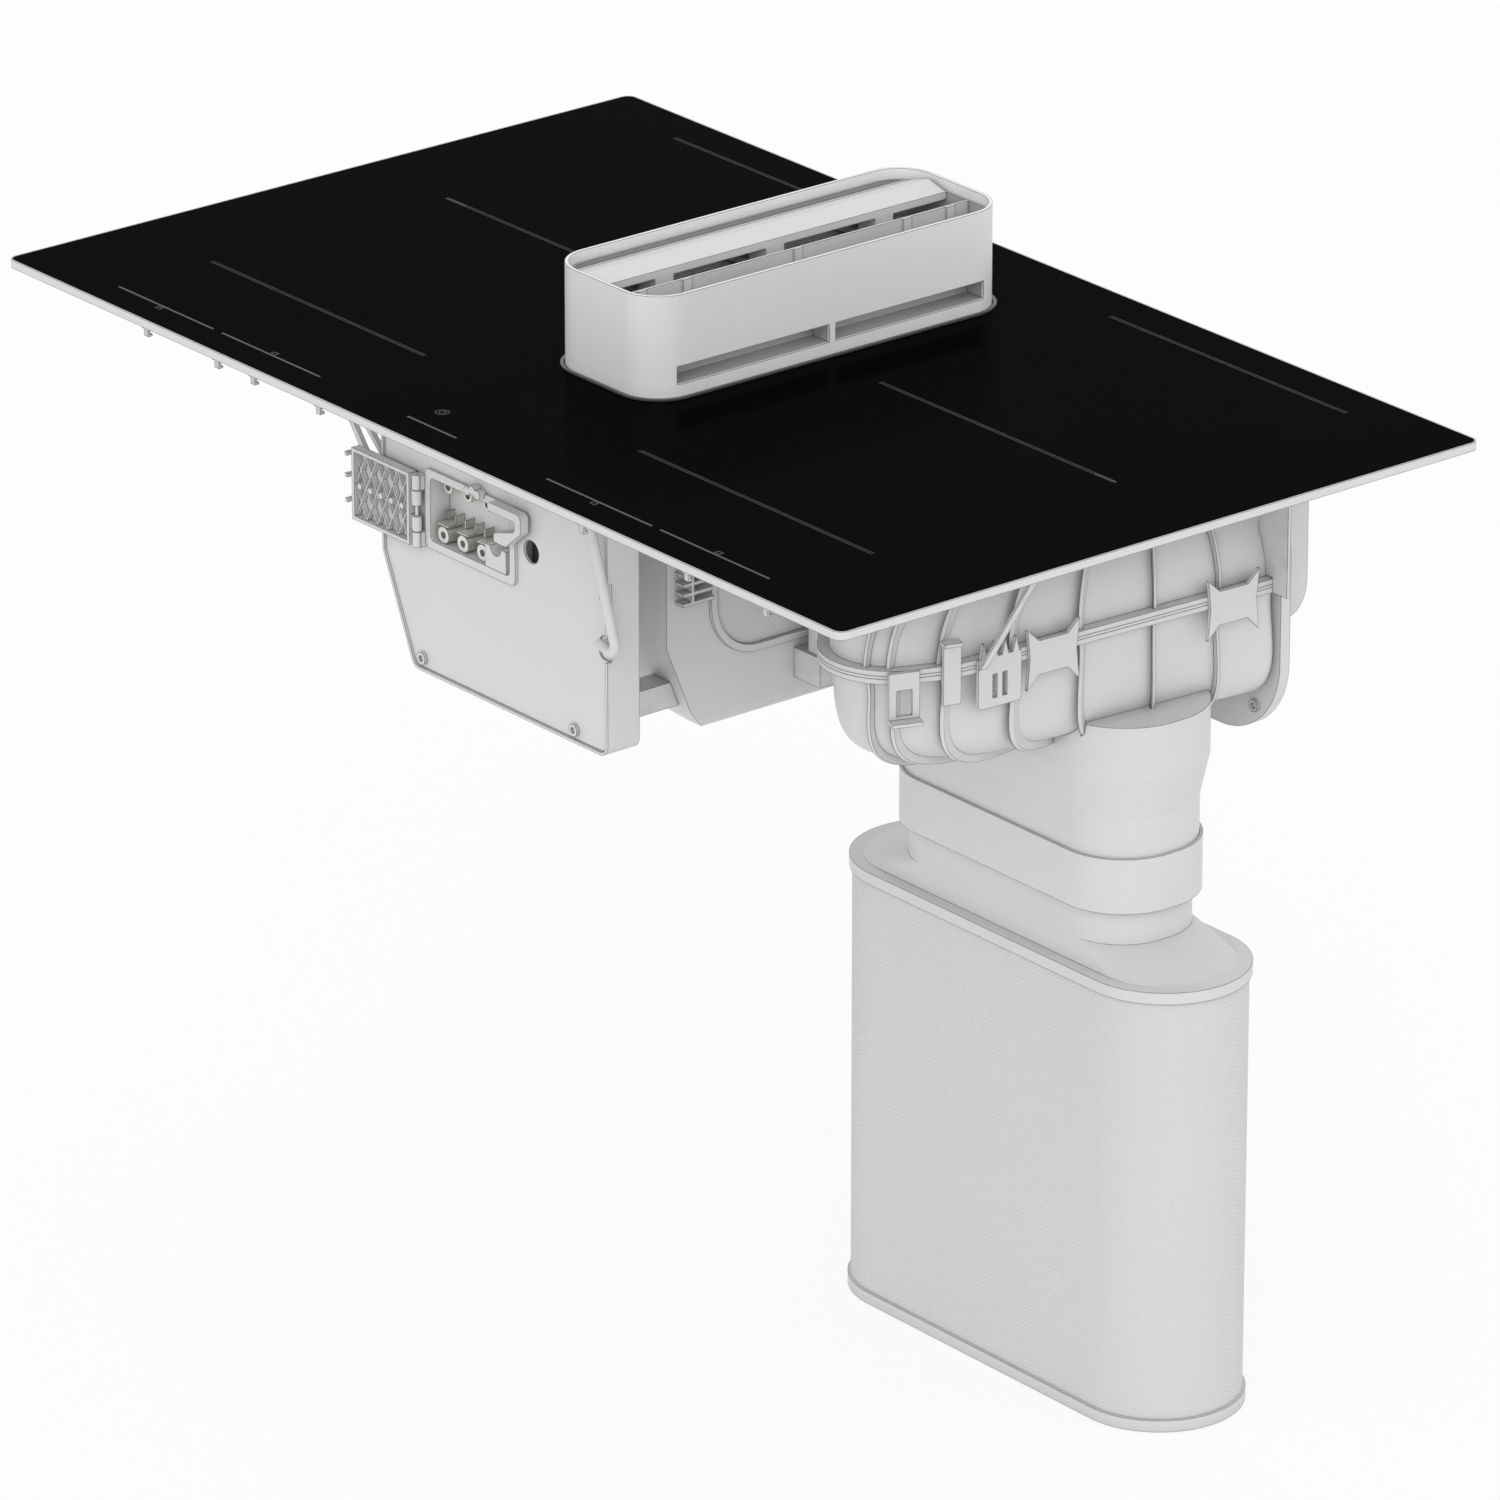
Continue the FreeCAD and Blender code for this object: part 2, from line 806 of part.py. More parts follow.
def make_well(upper_body):
    inner_left = -well_half_width + well_wall
    shell = well_solid(0, glass_bottom).cut(well_solid(-well_wall, glass_bottom + beyond))
    spout_end = blower_left + spout_height
    spout = spout_section(0, well_half_width - well_wall / 2, spout_end).cut(upper_body)
    pieces = [shell, bead_loop(0), min(spout.Solids, key=lambda solid: solid.CenterOfMass.x)]
    bores = []
    rods = []
    for y in (drive_front_y, drive_back_y):
        for top in (boss_top, head_bottom + boss_thickness):
            pieces.append(block(inner_left - well_wall / 2, rod_x + rod_radius + boss_room, y - bush_half_width,
                                y + bush_half_width, top - boss_thickness, top))
        bores.append(post(rod_x, y, rod_radius + running_gap, head_bottom - beyond,
                          head_bottom + boss_thickness + beyond))
        rods.append(post(rod_x, y, rod_radius, boss_top, head_bottom + boss_thickness))
    well = join(pieces).cut(spout_section(spout_wall, well_half_width - 2 * well_wall, spout_end + beyond))
    for bore in bores:
        well = well.cut(bore)
    keep("well_shell", well)
    keep("guide_rods", *rods)

    face = well_half_width
    fins = []
    for index in range(comb_fins):
        z = -comb_top - index * comb_pitch
        length = comb_length + index * comb_pitch / 4
        fins.append(block(face, face + comb_reach, comb_front, comb_front + length, z - comb_sheet, z))
    bottom = -comb_top - (comb_fins - 1) * comb_pitch - comb_sheet
    fins.append(block(face, face + comb_reach, comb_front + comb_pitch, comb_front + comb_pitch + comb_sheet,
                      bottom, -comb_top))
    keep("harness_comb", join(fins))


# Rising vent with its windows, baffles and guide bushes
def make_tower():
    shell = tube(0, tower_centre_y, tower_width, tower_length, tower_corner, tower_wall, tower_bottom, tower_top)
    ledge_top = tower_top - ledge_drop
    ledge = tube(0, tower_centre_y, tower_width - tower_wall, tower_length - tower_wall,
                 tower_corner - tower_wall / 2, ledge_width + tower_wall / 2,
                 ledge_top - ledge_thickness, ledge_top)
    body = join([shell, ledge])
    sill = glass_top + window_sill
    pane = (window_length - window_divider) / 2
    for end in (-1, 1):
        mid_y = tower_centre_y + end * (pane + window_divider) / 2
        pane_block = block(tower_inner - 2 * tower_wall, tower_side + beyond, mid_y - pane / 2, mid_y + pane / 2,
                           sill, sill + window_height)
        body = body.cut(pane_block).cut(mirrored_x(pane_block))
    keep("tower_shell", body)

    foot = tower_inner - baffle_ledge
    top = sill + baffle_height
    profile = sharp([
        (tower_inner, sill - baffle_sheet), (foot - baffle_sheet, sill - baffle_sheet),
        (foot - baffle_sheet - baffle_lean, top), (foot - baffle_lean, top),
        (foot, sill), (tower_inner, sill),
    ])
    half = window_length / 2 + baffle_web
    web_profile = sharp([
        (tower_inner, sill - baffle_sheet), (foot - baffle_sheet, sill - baffle_sheet),
        (foot - baffle_sheet - baffle_lean, top), (tower_inner, top),
    ])
    pieces = [prism(profile, upright_at(tower_centre_y - half), V(0, 2 * half, 0))]
    for y, thickness in ((-half, baffle_web), (-window_divider / 2, window_divider), (half - baffle_web, baffle_web)):
        pieces.append(prism(web_profile, upright_at(tower_centre_y + y), V(0, thickness, 0)))
    room = 2 * (tower_wall + running_gap)
    bore = slab(0, tower_centre_y, tower_width - room, tower_length - room, tower_corner - room / 2,
                sill - 2 * baffle_sheet, top + beyond)
    baffle = join(pieces).common(bore)
    keep("window_baffles", baffle, mirrored_x(baffle))

    bushes = []
    for y in (drive_front_y, drive_back_y):
        bush = block(rod_x - rod_radius - boss_room, -tower_side, y - bush_half_width, y + bush_half_width,
                     bush_top - bush_height, bush_top)
        bushes.append(bush.cut(post(rod_x, y, rod_radius + running_gap, bush_top - bush_height - beyond,
                                    bush_top + beyond)))
    keep("guide_bushes", *bushes)


# Rack and pinion drive of the vent
tooth_pitch = math.pi * gear_module
pitch_radius = gear_module * pinion_teeth / 2
dedendum = 1.25 * gear_module
root_x = tower_side + rack_base
pitch_line_x = root_x + dedendum
shaft_x = pitch_line_x + pitch_radius
rack_top = glass_bottom - rack_top_drop
shaft_z = rack_top - tower_rise - rack_end_room
rack_bottom = shaft_z - rack_end_room


def involute(base_radius, radius):
    """Polar angle gained by the involute between its base circle and a radius."""
    angle = math.acos(min(1.0, base_radius / radius))
    return math.tan(angle) - angle


def pinion(y):
    """Spur pinion about the shaft, with one tooth gap facing the rack."""
    base_radius = pitch_radius * math.cos(math.radians(pressure_angle))
    tip_radius = pitch_radius + gear_module
    half_tooth = (math.pi / 2 - gear_backlash / gear_module) / pinion_teeth
    half_tooth += involute(base_radius, pitch_radius)
    flank = [(pitch_radius - dedendum, half_tooth)]
    for step in range(5):
        radius = base_radius + (tip_radius - base_radius) * step / 4
        flank.append((radius, half_tooth - involute(base_radius, radius)))
    points = []
    for tooth in range(pinion_teeth):
        middle = math.pi + 2 * math.pi * (tooth + 0.5) / pinion_teeth
        polar = [(radius, middle - angle) for radius, angle in flank]
        polar += [(radius, middle + angle) for radius, angle in reversed(flank)]
        for radius, angle in polar:
            points.append((shaft_x + radius * math.cos(angle), shaft_z + radius * math.sin(angle)))
    blank = prism(sharp(points), upright_at(y - pinion_width / 2), V(0, pinion_width, 0))
    return blank.cut(bar_y(shaft_x, shaft_z, shaft_radius, y - pinion_width, y + pinion_width))


def rack(y):
    """Straight rack on the vent's right wall, with one tooth facing the shaft at rest."""
    slope = math.tan(math.radians(pressure_angle))
    half_width = tooth_pitch / 4 - gear_backlash / 2
    tip_x = pitch_line_x + gear_module
    root_half = half_width + dedendum * slope
    tip_half = half_width - gear_module * slope
    points = [(tower_side, rack_bottom), (root_x, rack_bottom)]
    first = math.ceil((rack_bottom + root_half - shaft_z) / tooth_pitch)
    last = math.floor((rack_top - root_half - shaft_z) / tooth_pitch)
    for index in range(first, last + 1):
        middle = shaft_z + index * tooth_pitch
        points.append((root_x, middle - root_half))
        points.append((tip_x, middle - tip_half))
        points.append((tip_x, middle + tip_half))
        points.append((root_x, middle + root_half))
    points += [(root_x, rack_top), (tower_side, rack_top)]
    return prism(sharp(points), upright_at(y - pinion_width / 2), V(0, pinion_width, 0))


def make_lift():
    wall_x = well_half_width - well_wall
    keep("tower_racks", rack(drive_front_y), rack(drive_back_y))
    keep("lift_pinions", pinion(drive_front_y), pinion(drive_back_y))
    bearing_ys = (drive_front_y - bearing_offset, drive_back_y + bearing_offset)
    bearings = []
    for y in bearing_ys:
        carrier = block(shaft_x - bearing_half, wall_x, y - bearing_width / 2, y + bearing_width / 2,
                        shaft_z - bearing_half, shaft_z + bearing_half)
        bearings.append(carrier.cut(bar_y(shaft_x, shaft_z, shaft_radius + running_gap,
                                          y - bearing_width, y + bearing_width)))
    keep("lift_bearings", *bearings)
    motor_front = bearing_ys[1] + bearing_width / 2 + contact_gap
    socket_end = motor_front + motor_length / 2
    keep("lift_shaft", bar_y(shaft_x, shaft_z, shaft_radius, bearing_ys[0] - bearing_width / 2,
                             socket_end - contact_gap))
    can = bar_y(shaft_x, shaft_z, motor_radius, motor_front, motor_front + motor_length)
    foot = block(shaft_x, wall_x, motor_front + motor_foot / 2, motor_front + motor_length - motor_foot / 2,
                 shaft_z - motor_foot / 2, shaft_z + motor_foot / 2)
    socket = bar_y(shaft_x, shaft_z, shaft_radius + running_gap, motor_front - beyond, socket_end)
    keep("lift_motor", join([can, foot]).cut(socket))


# Grille cassette that lifts out of the vent
def make_grille():
    outer_width = tower_width - 2 * (tower_wall + cassette_gap)
    outer_length = tower_length - 2 * (tower_wall + cassette_gap)
    outer_corner = tower_corner - tower_wall - cassette_gap
    inner_width = outer_width - 2 * cassette_wall
    inner_length = outer_length - 2 * cassette_wall
    inner_corner = outer_corner - cassette_wall
    seat = tower_top - ledge_drop
    rim = tower_top - cassette_drop
    blade_base = tower_top - blade_base_drop
    blade_top = tower_top - blade_drop
    middle_y = tower_centre_y
    pieces = [tube(0, middle_y, outer_width, outer_length, outer_corner, cassette_wall, seat, rim)]
    reach = inner_width / 2 + cassette_wall / 2
    for index in (-1, 0, 1):
        y = middle_y + index * cross_bar_pitch
        pieces.append(block(-reach, reach, y - cross_bar_width / 2, y + cross_bar_width / 2,
                            blade_base - cross_bar_height, blade_base))
    keep("grille_frame", join(pieces))

    room = slab(0, middle_y, inner_width - 2 * contact_gap, inner_length - 2 * contact_gap,
                inner_corner - contact_gap, seat, tower_top)
    front = middle_y - inner_length / 2

    def upright_blade(x):
        return block(x - blade_thickness / 2, x + blade_thickness / 2, front, front + inner_length, blade_base,
                     blade_top).common(room)

    keep("side_blades", upright_blade(far_blade_x), upright_blade(near_blade_x))
    fold_top = blade_top + cover_fold_rise
    lip_bottom = blade_top - cover_lip
    profile = sharp([
        (cover_left_x, blade_top - cover_thickness), (cover_left_x, blade_top), (cover_fold_x, fold_top),
        (cover_right_x, blade_top), (cover_right_x, lip_bottom), (cover_right_x - cover_thickness, lip_bottom),
        (cover_right_x - cover_thickness, blade_top - cover_thickness), (cover_fold_x, fold_top - cover_thickness),
    ])
    pieces = [prism(profile, upright_at(front), V(0, inner_length, 0))]
    for index in (-1, 0, 1):
        y = middle_y + index * cross_bar_pitch
        pieces.append(block(cover_fold_x, cover_right_x, y - cross_bar_width / 2, y + cross_bar_width / 2,
                            blade_base, blade_top - cover_thickness / 2))
    keep("cover_blade", join(pieces).common(room))

    grips = []
    left = near_blade_x + blade_thickness / 2
    for share in (-1.4, -1, 0, 1, 1.4):
        y = middle_y + share * cross_bar_pitch
        leg = block(left, left + grip_thickness, y - grip_width / 2, y + grip_width / 2, blade_base, blade_top)
        tongue = block(left, left + grip_reach, y - grip_width / 4, y + grip_width / 4, blade_base + grip_hook,
                       blade_base + grip_hook + grip_thickness)
        tip = block(left + grip_reach - grip_thickness, left + grip_reach, y - grip_width / 4, y + grip_width / 4,
                    blade_base + grip_hook, blade_base + 2 * grip_hook + grip_thickness)
        grips.append(join([leg, tongue, tip]))
    keep("grille_clips", *grips)

    net_width = inner_width - 2 * contact_gap
    net_length = inner_length - 2 * contact_gap
    net = slab(0, middle_y, net_width, net_length, inner_corner - contact_gap, seat, seat + mesh_thickness)
    cell_x = (net_width - 2 * mesh_border) / mesh_rows
    cell_y = (net_length - 2 * mesh_border) / mesh_columns
    gaps = []
    for row in range(mesh_rows):
        for column in range(mesh_columns):
            if row in (0, mesh_rows - 1) and column in (0, 1, mesh_columns - 2, mesh_columns - 1):
                continue
            cx = -net_width / 2 + mesh_border + (row + 0.5) * cell_x
            cy = middle_y - net_length / 2 + mesh_border + (column + 0.5) * cell_y
            gaps.append(slab(cx, cy, cell_x - mesh_web, cell_y - mesh_web, 0, seat - beyond,
                             seat + mesh_thickness + beyond))
    keep("grease_filter", net.cut(Part.makeCompound(gaps)))


# Connection casing with its terminal box, lid and lead
def casing_profile(shrink):
    """Front view of the casing, drawn in evenly."""
    return offset_corners([
        (casing_left, -rim_depth, 0),
        (casing_left, -casing_knee, casing_radius),
        (casing_left + casing_foot, -casing_bottom, casing_radius),
        (casing_right, -casing_bottom, casing_radius),
        (casing_right, -rim_depth, 0),
    ], -shrink)


block_right = block_left + block_width
block_mid_x = block_left + block_width / 2
block_mid_z = -block_top - block_height / 2
tub_width = block_width - 2 * block_border
tub_height = block_height - 2 * block_border
cover_front = casing_front + cover_inset
cover_back = cover_front + cover_sheet
lip_front = cover_front - block_lip
tub_floor = cover_front + block_recess - block_wall
hinge_x = block_left - hinge_reach
lid_back = casing_front - lid_stand_off
lid_face = lid_back - lid_sheet
lid_tip = lid_face - lid_rib_height
hinge_y = lid_tip + hinge_radius
lid_top = -block_top - lid_drop
lid_bottom = lid_top - lid_height
lid_right = hinge_x - hinge_radius - 3 * hinge_gap
lid_left = lid_right - lid_width


def casing_screw(x, z, seat):
    """Screw along Y whose head sits in front of a seat."""
    head = bar_y(x, z, screw_head_radius, seat - screw_head_height, seat)
    screw = join([head, bar_y(x, z, screw_radius, seat - beyond, seat + screw_length)])
    return screw.cut(bar_y(x, z, screw_socket_radius, seat - screw_head_height - beyond,
                           seat - screw_head_height + screw_socket_depth))


def make_casing():
    shell = prism(casing_profile(0), upright_at(casing_front), V(0, casing_back - casing_front, 0))
    hollow = prism(casing_profile(casing_wall), upright_at(casing_front - beyond),
                   V(0, casing_back - casing_front - casing_wall + beyond, 0))
    shell = shell.cut(hollow)
    plate = prism(casing_profile(casing_wall + cover_gap), upright_at(cover_front), V(0, cover_sheet, 0))
    for drop in notch_drops:
        notch = prism(rectangle(casing_right, -drop, 2 * notch_reach, notch_height, notch_radius),
                      upright_at(casing_front - beyond), V(0, cover_back - casing_front + beyond, 0))
        boss = block(casing_right - notch_reach - notch_margin, casing_right - casing_wall / 2,
                     cover_back + contact_gap, cover_back + contact_gap + notch_boss,
                     -drop - notch_height / 2 - notch_margin, -drop + notch_height / 2 + notch_margin)
        shell = join([shell.cut(notch), boss])
        plate = plate.cut(notch)
    keep("casing_shell", shell)

    wide = casing_right - cover_bend_x
    bend = sharp([(cover_bend_x, cover_front), (cover_bend_x + wide, cover_front + cover_bend_back),
                  (cover_bend_x + wide, cover_front - beyond), (cover_bend_x, cover_front - beyond)])
    plate = plate.cut(prism(bend, flat_at(-cover_bend_drop), V(0, 0, cover_bend_drop)))
    plate = plate.cut(prism(bend, flat_at(-cover_bend_drop), V(cover_bend_shift, 0, cover_bend_drop - casing_bottom)))
    window = rectangle(block_mid_x, block_mid_z, tub_width + 2 * cover_gap, tub_height + 2 * cover_gap, block_corner)
    plate = plate.cut(prism(window, upright_at(cover_front - beyond), V(0, cover_sheet + 2 * beyond, 0)))
    plate = plate.cut(bar_y(cable_hole_x, -cable_hole_drop, cable_hole_radius, cover_front - beyond,
                            cover_back + beyond))
    screw_z = -casing_bottom + screw_inset
    screws = []
    for x in (casing_left + casing_foot + screw_inset, casing_right - screw_right_inset):
        plate = plate.cut(bar_y(x, screw_z, screw_radius + running_gap, cover_front - beyond, cover_back + beyond))
        screws.append(casing_screw(x, screw_z, cover_front))
    keep("casing_cover", plate)
    return screws


def make_terminals():
    lip = prism(rectangle(block_mid_x, block_mid_z, block_width, block_height, block_corner),
                upright_at(lip_front), V(0, block_lip, 0))
    tub = prism(rectangle(block_mid_x, block_mid_z, tub_width, tub_height, block_corner),
                upright_at(cover_front), V(0, block_recess, 0))
    pocket = prism(rectangle(block_mid_x, block_mid_z, tub_width - 2 * block_wall, tub_height - 2 * block_wall,
                             block_corner - block_wall),
                   upright_at(lip_front - beyond), V(0, tub_floor - lip_front + beyond, 0))
    pieces = [lip, tub]
    for z in (lid_top - hinge_knuckle, lid_bottom):
        pieces.append(post(hinge_x, hinge_y, hinge_radius, z, z + hinge_knuckle))
        pieces.append(block(hinge_x, block_left + hinge_gap, hinge_y, cover_front, z, z + hinge_knuckle))
    for shift in (-1, 0, 1):
        pieces.append(bar_y(lobe_x + 1.7 * shift * lobe_radius, -block_top + (0.5 - abs(shift)) * lobe_radius / 2,
                            lobe_radius, lip_front - lobe_length, cover_front))
    body = join(pieces).cut(pocket)
    body = body.cut(post(hinge_x, hinge_y, hinge_pin_radius + running_gap, lid_bottom - beyond, lid_top + beyond))
    keep("terminal_frame", body)
    keep("lid_hinge_pin", post(hinge_x, hinge_y, hinge_pin_radius, lid_bottom, lid_top))

    posts = []
    links = []
    for index in range(3):
        x = post_first_x + index * post_pitch
        for drop, radius, length in ((upper_post_drop, upper_post_radius, upper_post_length),
                                     (lower_post_drop, lower_post_radius, lower_post_length)):
            z = -block_top - drop
            sleeve = bar_y(x, z, radius, tub_floor - length, tub_floor)
            posts.append(sleeve.cut(bar_y(x, z, post_hole, tub_floor - length - beyond, tub_floor - post_floor)))
        z = -block_top - lower_post_drop + lower_post_radius + contact_gap
        half = lower_post_radius
        tongue = block(x - half, x + half, tub_floor - lower_post_length, tub_floor, z, z + link_sheet)
        sides = [tongue]
        for side in (-half, half - link_sheet):
            sides.append(block(x + side, x + side + link_sheet, tub_floor - link_reach, tub_floor, z, z + link_reach))
        links.append(join(sides))
    keep("terminal_posts", *posts)
    keep("terminal_links", *links)

    top = -block_top
    arm = prism([
        (arm_left, top, 2), (arm_left, top - arm_width, 2), (arm_right - arm_width, top - arm_width, 2),
        (arm_right - arm_width, top - arm_drop / 2, 2), (arm_left + arm_width, top - arm_drop + arm_width, 2),
        (arm_left + arm_width, top - arm_drop, 2), (arm_right - 2.5 * arm_width, top - arm_drop, 3),
        (arm_right, top - arm_drop / 2, 3), (arm_right, top, 4),
    ], upright_at(lip_front - arm_thickness), V(0, arm_thickness, 0))
    keep("strain_relief_arm", arm)
    clamp_bottom = block_mid_z - tub_height / 2 + block_wall
    clamp_top = clamp_bottom + clamp_height
    clamp_left = post_first_x + 2 * post_pitch + lower_post_radius + contact_gap
    clamp_right = block_right - block_border - block_corner
    saddle = block(clamp_left, clamp_right, lip_front, tub_floor, clamp_bottom, clamp_top)
    groove = bar_y((clamp_left + clamp_right) / 2, clamp_top, clamp_groove, lip_front - beyond, tub_floor + beyond)
    keep("cable_clamp", saddle.cut(groove))


def make_lid():
    plate = block(lid_left, lid_right, lid_face, lid_back, lid_bottom, lid_top)
    rim = block(lid_left, lid_right, lid_tip, lid_face, lid_bottom, lid_top)
    rim = rim.cut(block(lid_left + lid_border, lid_right - lid_border, lid_tip - beyond, lid_face + beyond,
                        lid_bottom + lid_border, lid_top - lid_border))
    pieces = [plate, rim]
    field = block(lid_left + lid_border / 2, lid_right - lid_border / 2, lid_tip, lid_face,
                  lid_bottom + lid_border / 2, lid_top - lid_border / 2)
    cell = (lid_width - 2 * lid_border) / lid_lattice
    low = lid_bottom + lid_border
    high = lid_top - lid_border
    for index in range(-1, lid_lattice):
        start = lid_left + lid_border + index * cell
        for low_x, high_x in ((start, start + 2 * cell), (start + 2 * cell, start)):
            strip = prism(sharp([(low_x - lid_rib / 2, low), (low_x + lid_rib / 2, low),
                                 (high_x + lid_rib / 2, high), (high_x - lid_rib / 2, high)]),
                          upright_at(lid_tip + lid_rib), V(0, lid_rib_height - lid_rib, 0))
            pieces.append(strip.common(field))
    for index in range(lid_lattice):
        x = lid_left + lid_border + (index + 0.5) * cell
        pieces.append(bar_y(x, (lid_top + lid_bottom) / 2, lid_boss_radius, lid_tip, lid_face))
    low_knuckle = lid_bottom + hinge_knuckle + hinge_gap
    high_knuckle = lid_top - 2 * hinge_knuckle - hinge_gap
    for z in (low_knuckle, high_knuckle):
        pieces.append(post(hinge_x, hinge_y, hinge_radius, z, z + hinge_knuckle))
        pieces.append(block(lid_right - lid_border, hinge_x, hinge_y - hinge_radius / 2, hinge_y + hinge_radius / 2,
                            z, z + hinge_knuckle))
    for share in (0.2, 0.55, 0.85):
        z = lid_bottom + share * lid_height
        pieces.append(block(lid_left - latch_reach, lid_left + lid_border, lid_face, lid_back, z, z + latch_width))
        pieces.append(block(lid_left - latch_reach, lid_left - latch_reach + latch_width, lid_tip, lid_face, z,
                            z + latch_width))
    lid = join(pieces)
    keep("terminal_lid", lid.cut(post(hinge_x, hinge_y, hinge_pin_radius + running_gap, lid_bottom - beyond,
                                      lid_top + beyond)))


def cord_path(points):
    """Wire of straight runs joined by arcs as large as the runs allow."""
    edges = []
    start = points[0]
    for before, corner, after in zip(points, points[1:], points[2:]):
        back = before - corner
        ahead = after - corner
        half = back.getAngle(ahead) / 2
        run = 0.45 * min(back.Length, ahead.Length)
        radius = run * math.tan(half)
        enter = corner + back * (run / back.Length)
        leave = corner + ahead * (run / ahead.Length)
        bisector = (back * (1 / back.Length) + ahead * (1 / ahead.Length)).normalize()
        middle = corner + bisector * (radius / math.sin(half) - radius)
        edges.append(Part.LineSegment(start, enter).toShape())
        edges.append(Part.Arc(enter, middle, leave).toShape())
        start = leave
    edges.append(Part.LineSegment(start, points[-1]).toShape())
    return Part.Wire(edges)


def make_lead():
    front = casing_front - lead_stand_off
    bulge = casing_right + lead_bulge
    level = -notch_drops[1] + lead_radius
    points = [
        V(casing_right - lead_top_inset, front, -rim_depth - lead_top_drop),
        V(bulge, front, level + lead_turn),
        V(bulge - lead_turn, front, level),
        V(casing_right - lead_end_inset, casing_front - contact_gap, level),
    ]
    ring = Part.Wire(Part.makeCircle(lead_radius, points[0], points[1] - points[0]))
    keep("fan_lead", cord_path(points).makePipeShell([ring], True, True))


def make_supports():
    y0 = casing_front + gusset_back
    top = -rim_depth
    left = casing_left
    plate = prism(sharp([
        (left, top), (left - gusset_reach, top), (left - gusset_reach, top - gusset_height / 3),
        (left - gusset_reach / 2, top - gusset_height), (left, top - gusset_height),
    ]), upright_at(y0), V(0, gusset_sheet, 0))
    inner_left = left - gusset_reach + gusset_bar
    opening = prism(sharp([
        (left - gusset_bar, top - gusset_bar), (inner_left, top - gusset_bar),
        (inner_left, top - gusset_height / 3), (left - gusset_reach / 2 + gusset_bar / 2, top - gusset_height + gusset_bar),
        (left - gusset_bar, top - gusset_height + gusset_bar),
    ]), upright_at(y0 - beyond), V(0, gusset_sheet + 2 * beyond, 0))
    rising = prism(sharp([
        (left, top - gusset_height + gusset_bar), (left, top - gusset_height),
        (left - gusset_reach, top - gusset_bar), (left - gusset_reach, top),
    ]), upright_at(y0), V(0, gusset_sheet, 0))
    keep("casing_gusset", join([plate.cut(opening), rising.common(plate)]))

    right = rail_left + rail_width
    end = well_front + well_lean
    bottom = -rail_top - rail_height
    web = block(rail_left, right, casing_back, end, bottom, -rail_top)
    slot = block(rail_left - beyond, right - rail_sheet, casing_back - beyond, end + beyond, bottom + rail_sheet,
                 -rail_top - rail_sheet)
    foot = prism(sharp([
        (casing_back + rail_foot, bottom), (casing_back + 2 * rail_foot, bottom - rail_foot),
        (casing_back + 3 * rail_foot, bottom - rail_foot), (casing_back + 4 * rail_foot, bottom),
    ]), sideways_at(right - 2 * rail_sheet), V(2 * rail_sheet, 0, 0))
    keep("cross_rail", largest(join([web.cut(slot), foot]).cut(well_solid(contact_gap, glass_bottom))))


# Blower housing, its fan and its fittings
def housing_section(z, side, nose, grow):
    """Plan outline of the housing at one height, drawn in at its sides and its nose."""
    ease = 1 / (1 + nose / 80)
    return outline(offset_corners([
        (blower_left + side, blower_back, blower_back_radius),
        (blower_left + side, blower_cheek_y + 0.5 * nose, blower_cheek_radius * ease),
        (blower_nose_x - 0.3 * nose - 0.35 * side, blower_nose_y + nose, blower_nose_radius * ease),
        (blower_shoulder_x - side, blower_shoulder_y + 0.7 * nose, blower_shoulder_radius * ease),
        (blower_right - side, blower_back, blower_back_radius),
    ], grow), flat_at(z))


# Share of the depth, inset of the sides, inset of the nose and tilt of each level
upper_levels = ((0.0, 0, 0, 0), (0.34, 2, 6, 0), (0.68, 12, 22, 0), (0.9, 28, 45, 0), (1.0, 44, 66, 0))
lower_levels = ((0.0, 0, 0, 0), (0.4, 1, 8, 1.0), (0.7, 3, 22, 1.8), (0.84, 13, 42, 2.1), (1.0, 54, 92, 2.5))


def housing_solid(levels, start, end, grow):
    """Loft of the housing between the parting plane and its crown or its keel."""
    sections = []
    for share, side, nose, tilt in levels:
        z = start + (end - start) * share
        section = housing_section(z, side, nose, grow)
        section.rotate(V(0, blower_back, z), V(1, 0, 0), -tilt)
        sections.append(section)
    return Part.makeLoft(sections, True, False)


def edge_x(y):
    """Right edge of the housing at the parting plane."""
    if y < blower_shoulder_y:
        share = (y - blower_nose_y) / (blower_shoulder_y - blower_nose_y)
        return blower_nose_x + share * (blower_shoulder_x - blower_nose_x)
    share = (y - blower_shoulder_y) / (blower_back - blower_shoulder_y)
    return blower_shoulder_x + share * (blower_right - blower_shoulder_x)


def rib_slabs(thickness, z0, z1):
    """Upright sheets that stand out from the hub line, one for each rib."""
    slabs = []
    for y in rib_ys:
        angle = math.degrees(math.atan2(y - rib_hub_y, edge_x(y) - outlet_x))
        sheet = block(outlet_x, outlet_x + 2 * (blower_back - blower_nose_y), rib_hub_y - thickness / 2,
                      rib_hub_y + thickness / 2, z0, z1)
        slabs.append(turned(sheet, angle, outlet_x, rib_hub_y))
    return slabs


def flange_plate(grow, z0, z1):
    """Flat plate over the plan of the housing, trimmed at its back."""
    plate = Part.Face(housing_section(z0, 0, 0, grow)).extrude(V(0, 0, z1 - z0))
    return plate.cut(block(blower_left - 3 * grow, blower_right + 3 * grow, blower_back,
                           blower_back + 3 * grow, z0 - beyond, z1 + beyond))


